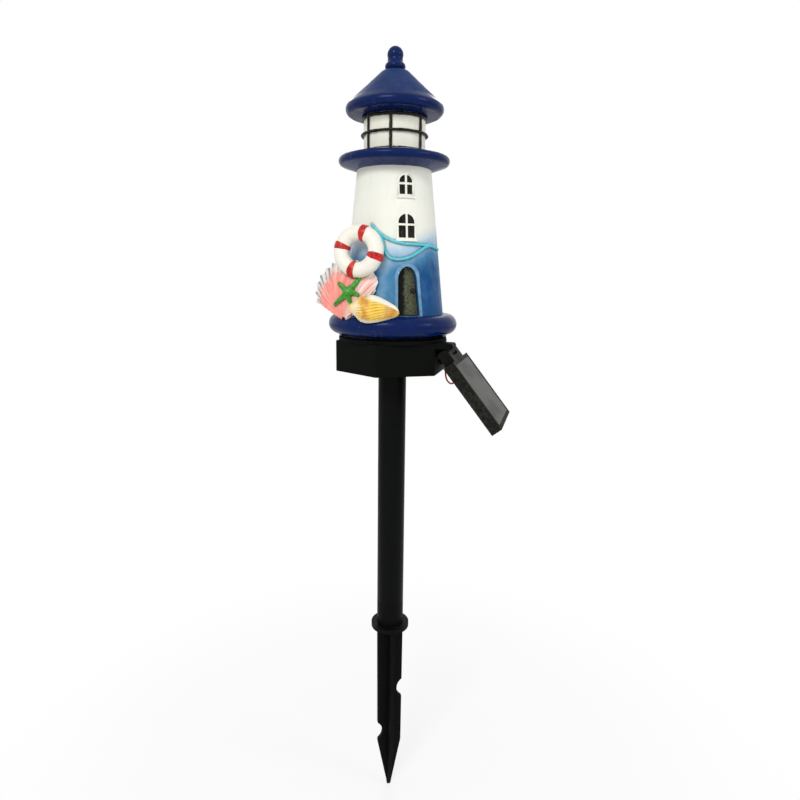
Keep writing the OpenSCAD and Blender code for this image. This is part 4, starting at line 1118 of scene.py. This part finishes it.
whelkLook = dict(place=(-28.5, -42.5), above=6.4, rise=3, lie=97, length=33, radius=8.6,
                 cream=paint(250, 238, 196), yellow=paint(250, 206, 66), brown=paint(206, 138, 40),
                 deep=paint(176, 120, 44), lip=paint(250, 246, 226))
whelkFrame = (Matrix.Rotation(reliefTurn, 4, "Z")
              @ Matrix.Translation((whelkLook["place"][0] * mm, whelkLook["place"][1] * mm,
                                    baseHigh + whelkLook["above"] * mm))
              @ Matrix.Rotation(math.radians(whelkLook["rise"]), 4, "Z")
              @ Matrix.Rotation(math.radians(whelkLook["lie"]), 4, "Y"))
whelkOutline = ((0, 0), (0.16, 0.02), (0.34, 0.06), (0.42, 0.10), (0.52, 0.115), (0.66, 0.17), (0.78, 0.20),
                (0.96, 0.27), (1.0, 0.36), (0.96, 0.47), (0.84, 0.60), (0.64, 0.74), (0.40, 0.88),
                (0.22, 0.97), (0.0, 1.0))


def whelkRadius(t):
    for (r0, l0), (r1, l1) in zip(whelkOutline, whelkOutline[1:]):
        if t <= l1:
            s = (t - l0) / (l1 - l0)
            return r0 + (r1 - r0) * s
    return 0.0


def makeWhelk(material):
    around, along = 240, 150
    length, widest = whelkLook["length"], whelkLook["radius"]
    bm = bmesh.new()
    layer = bm.loops.layers.uv.new("UVMap")
    bmesh.ops.create_grid(bm, x_segments=around, y_segments=along, size=1.0)
    spots = {}
    for v in bm.verts:
        s, t = (v.co.x + 1) / 2, (v.co.y + 1) / 2
        spots[v.index] = (s, t)
        a = 2 * math.pi * s
        base = (whelkRadius(t - 0.006) + whelkRadius(t) + whelkRadius(t + 0.006)) / 3
        body = smoothStep(t, 0.24, 0.36) * (1 - smoothStep(t, 0.86, 1.0))
        twist = 1.3 * t
        ridges = 0.20 * abs(math.sin(11 * (a + twist))) ** 0.7 * body
        spire = (1 - smoothStep(t, 0.16, 0.26)) * smoothStep(t, 0.0, 0.05)
        whorl = 0.14 * math.sin(2 * math.pi * (t * 24 + s)) * spire
        top = math.cos(a - math.radians(170))  # towards the lip, up and back
        flare = 1.2 * max(0.0, top) ** 6 * smoothStep(t, 0.30, 0.52) * (1 - smoothStep(t, 0.92, 1.0))
        crease = -0.7 * max(0.0, math.cos(a - math.radians(140))) ** 22 * body
        r = base * widest + ridges + whorl + flare + crease
        v.co = Vector((r * math.cos(a) * mm, r * math.sin(a) * mm, t * length * mm))
    for face in bm.faces:
        for loop in face.loops:
            loop[layer].uv = spots[loop.vert.index]
    bmesh.ops.remove_doubles(bm, verts=bm.verts, dist=2e-6)
    bmesh.ops.recalc_face_normals(bm, faces=bm.faces)
    bmesh.ops.transform(bm, matrix=whelkFrame, verts=bm.verts)
    pushOut(bm, 0.1 * mm)
    return keep(bm, "whelkShell", "head", material, ["whelk_shell"], sharp=70)


def whelkPaint():
    material, tree, shader = newMaterial("whelk paint", Specular_IOR_Level=0.42)
    s, t = ownMap(tree)
    where = objectPlace(tree)
    wobble = times(tree, remap(tree, grain(tree, where, 230.0, 3.0), 0.2, 0.8, -0.5, 0.5), 0.12)
    place = maths(tree, "ADD", t, wobble)
    ramp = put(tree, "ValToRGB", {}, {"Fac": place})
    stops = ramp.color_ramp.elements
    stops[0].color, stops[1].color = whelkLook["yellow"], whelkLook["cream"]
    # the brown stop at 0.30 is a painted shadow band at the shoulder; the brown at 0.84 is the tip's own
    # colour
    for spot, colour in ((0.14, whelkLook["cream"]), (0.22, whelkLook["yellow"]), (0.30, whelkLook["brown"]),
                         (0.42, whelkLook["yellow"]), (0.66, whelkLook["yellow"]), (0.84, whelkLook["brown"]),
                         (0.95, whelkLook["yellow"])):
        stops.new(spot).color = colour
    lines = maths(tree, "SINE", times(tree, maths(tree, "ADD", s, times(tree, t, 0.21)),
                                      2 * math.pi * 26))
    lines = times(tree, remap(tree, lines, 0.0, 0.9),
                  remap(tree, grain(tree, where, 150.0, 3.0), 0.35, 0.6, 0.3, 0.75))
    colour = mixColours(tree, lines, ramp.outputs["Color"], whelkLook["deep"])
    lip = maths(tree, "COSINE", times(tree, maths(tree, "SUBTRACT", s, 0.47), 2 * math.pi))
    lip = times(tree, remap(tree, lip, 0.45, 0.70), remap(tree, t, 0.26, 0.44))
    low = maths(tree, "COSINE", times(tree, maths(tree, "SUBTRACT", s, 0.02), 2 * math.pi))
    low = times(tree, remap(tree, low, 0.55, 0.85), 0.85)
    colour = mixColours(tree, maths(tree, "MAXIMUM", lip, low), colour, whelkLook["lip"])
    # painted shade where the scallop, base, tower and starfish touch the whelk
    colour = mixColours(tree, times(tree, mark(tree, "contact"), 0.6), colour, paint(90, 80, 60))
    made = brushed(tree, colour, whelkLook["cream"], 0.35, 480.0, 0.38, 0.7)
    wireMade(tree, shader, made, 0.12)
    return material


whelk = makeWhelk(whelkPaint())
print("life ring, scallop, starfish and whelk ready")

# the moulded rope: azimuth from the door and height above the housing, as the CAD routes have it
ropeLook = dict(
    upper=((-44, 77), (-38.5, 73.8), (-32, 70.8), (-24.5, 68), (-16.5, 66.2),
           (-8.5, 65), (0, 64.2), (7, 64.1),
           (14, 63.9), (21, 63.8), (28, 63.6), (33, 63.5), (40, 63.1), (47, 62.5), (54, 61.8), (60, 61.1)),
    lower=((-34.4, 71.4), (-29.4, 68), (-26.6, 64.8), (-25, 60.8), (-22, 57.4), (-18, 55.2), (-13, 54.4),
           (-8, 54.2), (-2, 54.6), (4, 55.6), (10, 57), (16, 58.8), (22, 60.8), (27, 62.2), (31, 63.2)),
    knot=(32.5, 63.4), strand=0.50, lay=0.42, pitch=3.4,
    teal=paint(86, 200, 214), deep=paint(26, 120, 138), light=paint(170, 232, 236))


def smoothRoute(route, steps):
    # a smooth curve through the route's points, without its last point
    points = []
    for i in range(len(route) - 1):
        near = [route[min(max(k, 0), len(route) - 1)] for k in (i - 1, i, i + 1, i + 2)]
        for t in (step / steps for step in range(steps)):
            points.append([0.5 * (2 * b + (c - a) * t + (2 * a - 5 * b + 4 * c - d) * t * t
                                  + (3 * b - a - 3 * c + d) * t ** 3) for a, b, c, d in zip(*near)])
    return points


def curveMesh(name, data):
    # the curve's tube as a mesh, with its doubled points merged
    curve = bpy.data.objects.new(name + "Curve", data)
    link(curve)
    bpy.context.view_layer.update()
    mesh = bpy.data.meshes.new_from_object(curve.evaluated_get(bpy.context.evaluated_depsgraph_get()))
    bpy.data.objects.remove(curve)
    bm = bmesh.new()
    bm.from_mesh(mesh)
    bmesh.ops.remove_doubles(bm, verts=bm.verts, dist=1e-6)
    return bm


def ropePoints(route):
    # on the tower's face
    points = []
    for azimuth, height in smoothRoute(route, 14):
        z = housingHigh + height * mm
        r = towerRadius(z) + 0.80 * mm
        a = math.radians(azimuth)
        points.append(Vector((r * math.sin(a), -r * math.cos(a), z)))
    return points


def makeRope(material):
    data = bpy.data.curves.new("rope", "CURVE")
    data.dimensions = "3D"
    data.bevel_depth, data.bevel_resolution = ropeLook["strand"] * mm, 3
    data.use_fill_caps = True
    for route in (ropeLook["upper"], ropeLook["lower"]):
        centre = ropePoints(route)
        for strand in range(3):
            spline = data.splines.new("POLY")
            spline.points.add(len(centre) - 1)
            gone = 0.0
            for i, p in enumerate(centre):
                before, after = centre[max(i - 1, 0)], centre[min(i + 1, len(centre) - 1)]
                way = (after - before).normalized()
                gone += (p - before).length
                out = Vector((p.x, p.y, 0)).normalized()
                beside = way.cross(out).normalized()
                a = 2 * math.pi * (gone / (ropeLook["pitch"] * mm) + strand / 3)
                taper = min(1.0, 0.35 + i / 10, 0.35 + (len(centre) - 1 - i) / 10)
                spot = p + (out * math.cos(a) + beside * math.sin(a)) * ropeLook["lay"] * mm * taper
                spline.points[i].co = (*spot, 1)
                spline.points[i].radius = taper
    azimuth, height = ropeLook["knot"]
    a, z = math.radians(azimuth), housingHigh + height * mm
    centre = Vector((math.sin(a), -math.cos(a), 0)) * (towerRadius(z) + 1.0 * mm) + Vector((0, 0, z))
    aside = Vector((math.cos(a), math.sin(a), 0))
    knot = data.splines.new("POLY")
    knot.points.add(30)
    for i in range(31):
        b = 2 * math.pi * i / 31
        spot = centre + aside * 1.15 * mm * math.cos(b) + Vector((0, 0, 1.0 * mm * math.sin(b)))
        knot.points[i].co = (*(spot + Vector((math.sin(a), -math.cos(a), 0)) * 0.3 * mm * math.sin(2 * b)), 1)
    knot.use_cyclic_u = True
    bm = curveMesh("rope", data)
    pushOut(bm, 0.02 * mm)
    return keep(bm, "mouldedRope", "head", material, ["moulded_rope"], sharp=75)


def ropePaint():
    material, tree, shader = newMaterial("rope paint", Specular_IOR_Level=0.4)
    made = brushed(tree, ropeLook["teal"], ropeLook["light"], 0.5, 600.0, 0.42, 0.5)
    # painted shade in the grooves between the strands
    groove = remap(tree, tree.nodes.new("ShaderNodeNewGeometry").outputs["Pointiness"], 0.50, 0.42)
    colour = mixColours(tree, times(tree, groove, 0.8), made.outputs["Color"], ropeLook["deep"])
    wireMade(tree, shader, made, 0.08, colour)
    return material


rope = makeRope(ropePaint())
# marks for the painted shade where the pieces touch one another
markContact(tower, [lifeRing, bands, scallop, whelk, rope], 1.5 * mm)
markContact(lifeRing, [tower, scallop, star, rope], 1.2 * mm)
markContact(scallop, [lifeRing, bands, star, whelk, basePiece], 1.2 * mm)
markContact(whelk, [scallop, basePiece, tower, star], 1.1 * mm)
print("rope and contact shades ready")


panelLook = dict(cell=paint(40, 42, 38), line=paint(96, 98, 90), fingerGap=2.2, busGap=13.0,
                 window=paint(62, 64, 58), haze=paint(72, 74, 67))
hinge = next(j for j in frame["joints"] if j["name"] == "panel_tilt")
pivot = Vector(hinge["pos_m"])
hingeWay = Vector(hinge["axis"]).normalized()
outWay = Vector((-hingeWay.y, hingeWay.x, 0))  # level, out of the housing's face
if outWay.dot(pivot) < 0:
    outWay = -outWay
slope = math.radians(51.8)
downSlope = outWay * math.cos(slope) - Vector((0, 0, math.sin(slope)))
panelFace = downSlope.cross(hingeWay)
if panelFace.z < 0:
    panelFace = -panelFace


def panelPlace(tree):
    # object coordinates turned to run down the slope and along the hinge
    where = objectPlace(tree)
    def along(way):
        return put(tree, "VectorMath", {"operation": "DOT_PRODUCT"},
                   {0: where, 1: tuple(way)}).outputs["Value"]
    return along(downSlope), along(hingeWay)


def cellFinish():
    material, tree, shader = newMaterial("solar cell", Specular_IOR_Level=0.2)
    s, t = panelPlace(tree)
    def lines(value, gap, wide):
        phase = maths(tree, "FRACT", maths(tree, "DIVIDE", value, gap * mm))
        return maths(tree, "LESS_THAN", phase, wide / gap)
    fingers = lines(s, panelLook["fingerGap"], 0.12)
    buses = lines(t, panelLook["busGap"], 0.7)
    mask = maths(tree, "MAXIMUM", times(tree, fingers, 0.55), buses)
    crystal = put(tree, "TexVoronoi", {}, {"Vector": objectPlace(tree), "Scale": 190.0})
    tone = put(tree, "HueSaturation", {}, {"Color": panelLook["cell"], "Value": remap(
        tree, crystal.outputs["Distance"], 0.0, 0.7, 0.8, 1.3)}).outputs[0]
    wire(tree, shader, mixColours(tree, times(tree, mask, 0.6), tone, panelLook["line"]),
         remap(tree, mask, 0.0, 1.0, 0.34, 0.5), crystal.outputs["Distance"], 0.02)
    return material


def windowFinish():
    material, tree, shader = newMaterial("panel window", Transmission_Weight=0.25, IOR=1.3,
                                         Specular_IOR_Level=0.10)
    where = objectPlace(tree)
    haze = remap(tree, grain(tree, where, 60.0, 4.0), 0.4, 0.7)
    colour = mixColours(tree, haze, panelLook["window"], panelLook["haze"])
    wire(tree, shader, colour, remap(tree, haze, 0.0, 1.0, 0.30, 0.42), haze, 0.02)
    return material


finishNode("solar_cell", cellFinish())
softened("panel_window", "panelWindow", "panel", windowFinish(), 0.15)


def leadFinish(name, colour, light):
    material, tree, shader = newMaterial(name, Specular_IOR_Level=0.45)
    made = moulded(tree, colour, light, 0.5, 0.38, 4200.0)
    wireMade(tree, shader, made, 0.02)
    return material


# lead routes: out from the axis, along the hinge, height above the housing, as the CAD routes have them
leadRoutes = dict(
    leadRed=((17, -13.2, -12.9), (19.5, -10.5, -13.1), (22.5, -7, -13.2), (26, -3.5, -13.1), (29, -1.4, -13),
             (32, -1, -13), (34.4, -1, -13), (36.5, -1, -13), (38, -1, -14.2), (38.8, -1, -17.2),
             (38.9, -1, -21.2), (39.3, -1, -25.2), (40.6, -1, -28.2), (42.7, -1, -29.9), (44.8, -1, -29.4),
             (45.7, -1, -27.6), (45.4, -1, -25.4), (44.5, -1, -23.7), (44.2, -1, -22.4), (44.9, -1, -21.3),
             (46.5, -1, -20), (48, -1, -18.8), (48.6, -1, -18.3)),
    leadBlack=((16, -10.5, -12.9), (18.5, -7.5, -13.1), (22, -3.5, -13.2), (26, -0.5, -13.1), (29, 0.8, -13),
               (32, 1, -13), (34.4, 1, -13), (36.5, 1, -13), (38, 1.6, -13.8), (39, 4, -15.4),
               (39.4, 7, -17.4), (39.6, 10, -19.4), (40.4, 12.6, -20.8), (42, 13.8, -21.8), (43.8, 13, -22.4),
               (44.6, 10.6, -22.6), (44.6, 7.8, -22.6), (44.3, 5.2, -22.4), (44.2, 3, -22.1),
               (44.6, 1.5, -21.6), (45.4, 1, -20.9), (46.5, 1, -20), (48, 1, -18.8), (48.6, 1, -18.3)))
leadSize = 1.2 * mm


leadLook = dict(grommetEnd=7,  # the route's point at the grommet
                red=paint(160, 20, 16), redWorn=paint(190, 64, 50),
                black=paint(16, 16, 16), blackWorn=paint(60, 60, 60))


def leadTube(name, points, material):
    data = bpy.data.curves.new(name, "CURVE")
    data.dimensions = "3D"
    data.bevel_depth, data.bevel_resolution, data.use_fill_caps = leadSize / 2, 4, True
    spline = data.splines.new("POLY")
    spline.points.add(len(points) - 1)
    for target, p in zip(spline.points, points):
        target.co = (*p, 1)
    bm = curveMesh(name, data)
    bmesh.ops.recalc_face_normals(bm, faces=bm.faces)
    mesh = bpy.data.meshes.new(name)
    bm.to_mesh(mesh)
    bm.free()
    for face in mesh.polygons:
        face.use_smooth = True
    mesh.materials.append(material)
    tube = bpy.data.objects.new(name, mesh)
    link(tube)
    return tube


def leadPoints(route):
    alongHinge = Vector((-outWay.y, outWay.x, 0))
    return [outWay * n * mm + alongHinge * t * mm + Vector((0, 0, housingHigh + h * mm))
            for n, t, h in smoothRoute(route, 5) + [route[-1]]]


def makeLead(name, node, material):
    route, cut = leadRoutes[name], leadLook["grommetEnd"]
    inside = leadTube(name + "Inside", leadPoints(route[:cut + 1]), material)
    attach(inside, "head")
    points = leadPoints(route[cut:])
    lead = leadTube(name, points, material)
    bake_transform(lead)
    for piece in (inside, lead):
        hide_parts(node)


makeLead("leadRed", "lead_red",
         leadFinish("red insulation", leadLook["red"], leadLook["redWorn"]))
makeLead("leadBlack", "lead_black",
         leadFinish("black insulation", leadLook["black"], leadLook["blackWorn"]))
print("panel and leads ready")


def metal(name, tone, brightness=0.3):
    material, tree, shader = newMaterial(name, Metallic=1.0)
    where = objectPlace(tree)
    lines = grain(tree, stretched(tree, where, (1, 1, 0.1)), 1600.0, 4.0)
    spots = remap(tree, grain(tree, where, 300.0, 4.0), 0.55, 0.75)
    colour = mixColours(tree, times(tree, spots, 0.4), tone, paint(120, 104, 84))
    wire(tree, shader, colour, remap(tree, lines, 0.3, 0.7, brightness - 0.08, brightness + 0.12),
         lines, 0.01)
    return material


def boardFinish():
    material, tree, shader = newMaterial("circuit board", Specular_IOR_Level=0.5)
    where = objectPlace(tree)
    tracks = put(tree, "TexBrick", {"offset": 0.37},
                 {"Vector": stretched(tree, where, (1, 1, 1)), "Scale": 320.0,
                 "Color1": paint(24, 96, 52), "Color2": paint(30, 112, 60), "Mortar": paint(64, 150, 84),
                 "Mortar Size": 0.03}).outputs["Color"]
    pads = put(tree, "TexVoronoi", {}, {"Vector": where, "Scale": 420.0}).outputs["Distance"]
    colour = mixColours(tree, remap(tree, pads, 0.10, 0.06), tracks, paint(190, 186, 160))
    wire(tree, shader, colour, remap(tree, pads, 0.0, 0.5, 0.25, 0.4), pads, 0.03)
    return material


def cellWrap():
    material, tree, shader = newMaterial("battery wrap", Specular_IOR_Level=0.5, Coat_Weight=0.3)
    where = objectPlace(tree)
    x = put(tree, "SeparateXYZ", {}, {0: where}).outputs[0]
    low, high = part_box("battery_cell")
    ends = maths(tree, "MAXIMUM", remap(tree, x, high.x - 0.0020, high.x - 0.0018),
                 remap(tree, x, low.x + 0.0010, low.x + 0.0008))
    wrinkle = grain(tree, where, 700.0, 3.0)
    wrap = mixColours(tree, remap(tree, wrinkle, 0.4, 0.7), paint(38, 130, 70), paint(58, 158, 92))
    tree.links.new(ends, shader.inputs["Metallic"])
    wire(tree, shader, mixColours(tree, ends, wrap, paint(190, 190, 186)),
         remap(tree, wrinkle, 0.3, 0.7, 0.2, 0.35),
         wrinkle, 0.03)
    return material


def clearResin():
    material, tree, shader = newMaterial("lamp resin", Transmission_Weight=0.8, IOR=1.5)
    where = objectPlace(tree)
    cloud = grain(tree, where, 500.0, 3.0)
    wire(tree, shader, mixColours(tree, cloud, paint(250, 250, 236), paint(236, 236, 214)),
         remap(tree, cloud, 0.3, 0.7, 0.05, 0.15), cloud, 0.01)
    return material


def whiteMoulding():
    material, tree, shader = newMaterial("white moulding", Specular_IOR_Level=0.45)
    made = moulded(tree, paint(226, 226, 220), paint(180, 178, 168), 0.3, 0.4, 2500.0)
    wireMade(tree, shader, made, 0.03)
    return material


def wirePair():
    material, tree, shader = newMaterial("lamp wires", Specular_IOR_Level=0.45)
    x = put(tree, "SeparateXYZ", {}, {0: objectPlace(tree)}).outputs[0]
    colour = mixColours(tree, maths(tree, "GREATER_THAN", x, 0.0), paint(18, 18, 18), paint(176, 24, 22))
    made = moulded(tree, colour, paint(120, 90, 84), 0.2, 0.4, 4000.0)
    wireMade(tree, shader, made, 0.02)
    return material


zincSteel = metal("zinc steel", paint(196, 198, 200), 0.30)
springSteel = metal("spring steel", paint(214, 212, 204), 0.22)
for node in ("floor_screws", "figure_screws"):
    finishNode(node, zincSteel)
for node in ("battery_spring", "battery_plate", "switch_body"):
    finishNode(node, springSteel)
finishNode("circuit_board", boardFinish())
finishNode("battery_cell", cellWrap())
finishNode("led_lamp", clearResin())
finishNode("led_holder", whiteMoulding())
finishNode("led_wires", wirePair())
print("inner pieces ready")


stageLook = dict(floor=paint(247, 247, 246), ambient=0.56, key=11.0, fill=3.6, back=3.6)


def makeStage():
    bm = bmesh.new()
    bmesh.ops.create_grid(bm, x_segments=2, y_segments=2, size=4.0)
    bmesh.ops.translate(bm, verts=bm.verts, vec=(0, 1.0, floorZ - 0.0004))
    mesh = bpy.data.meshes.new("floor")
    bm.to_mesh(mesh)
    bm.free()
    floor = bpy.data.objects.new("floor", mesh)
    link(floor)
    material = bpy.data.materials.new("pale floor")
    material.use_nodes = True
    tree = material.node_tree
    shader = tree.nodes["Principled BSDF"]
    shader.inputs["Base Color"].default_value = stageLook["floor"]
    shader.inputs["Roughness"].default_value = 0.9
    shader.inputs["Specular IOR Level"].default_value = 0.1
    glow = put(tree, "Emission", {}, {"Color": (1, 1, 1, 1), "Strength": 1.0})
    path = tree.nodes.new("ShaderNodeLightPath")
    away = put(tree, "VectorMath", {"operation": "LENGTH"}, {0: objectPlace(tree)}).outputs["Value"]
    share = times(tree, path.outputs["Is Camera Ray"], remap(tree, away, 0.16, 0.42, 0.72, 1.0))
    blend = put(tree, "MixShader", {}, {0: share, 1: shader.outputs[0], 2: glow.outputs[0]})
    tree.links.new(blend.outputs[0], tree.nodes["Material Output"].inputs["Surface"])
    mesh.materials.append(material)


def makeWorld():
    world = bpy.data.worlds.new("studio")
    bpy.context.scene.world = world
    world.use_nodes = True
    tree = world.node_tree
    light = tree.nodes["Background"]
    path = tree.nodes.new("ShaderNodeLightPath")
    seen = maths(tree, "MAXIMUM", maths(tree, "MAXIMUM", path.outputs["Is Camera Ray"],
                                        path.outputs["Is Glossy Ray"]), path.outputs["Is Transmission Ray"])
    strength = maths(tree, "MULTIPLY_ADD", seen, 1.0 - stageLook["ambient"])
    tree.nodes[-1].inputs[2].default_value = stageLook["ambient"]
    light.inputs["Color"].default_value = (1, 1, 1, 1)
    tree.links.new(strength, light.inputs["Strength"])


def makeLamp(name, place, target, size, power):
    data = bpy.data.lights.new(name, "AREA")
    data.shape, data.size, data.size_y = "RECTANGLE", size[0], size[1]
    data.energy = power
    lamp = bpy.data.objects.new(name, data)
    link(lamp)
    lamp.location = place
    lamp.rotation_mode = "QUATERNION"
    lamp.rotation_quaternion = (Vector(target) - Vector(place)).to_track_quat("-Z", "Y")


makeStage()
makeWorld()
middle = (0, 0, 0.30)
makeLamp("keyLamp", (-0.75, -1.05, 1.15), middle, (0.55, 0.40), stageLook["key"])
makeLamp("fillLamp", (1.05, -0.85, 0.85), middle, (0.50, 0.40), stageLook["fill"])
makeLamp("backLamp", (0.35, 1.2, 1.1), middle, (0.80, 0.50), stageLook["back"])
bpy.context.scene.view_settings.view_transform = "Standard"

print("stage ready")
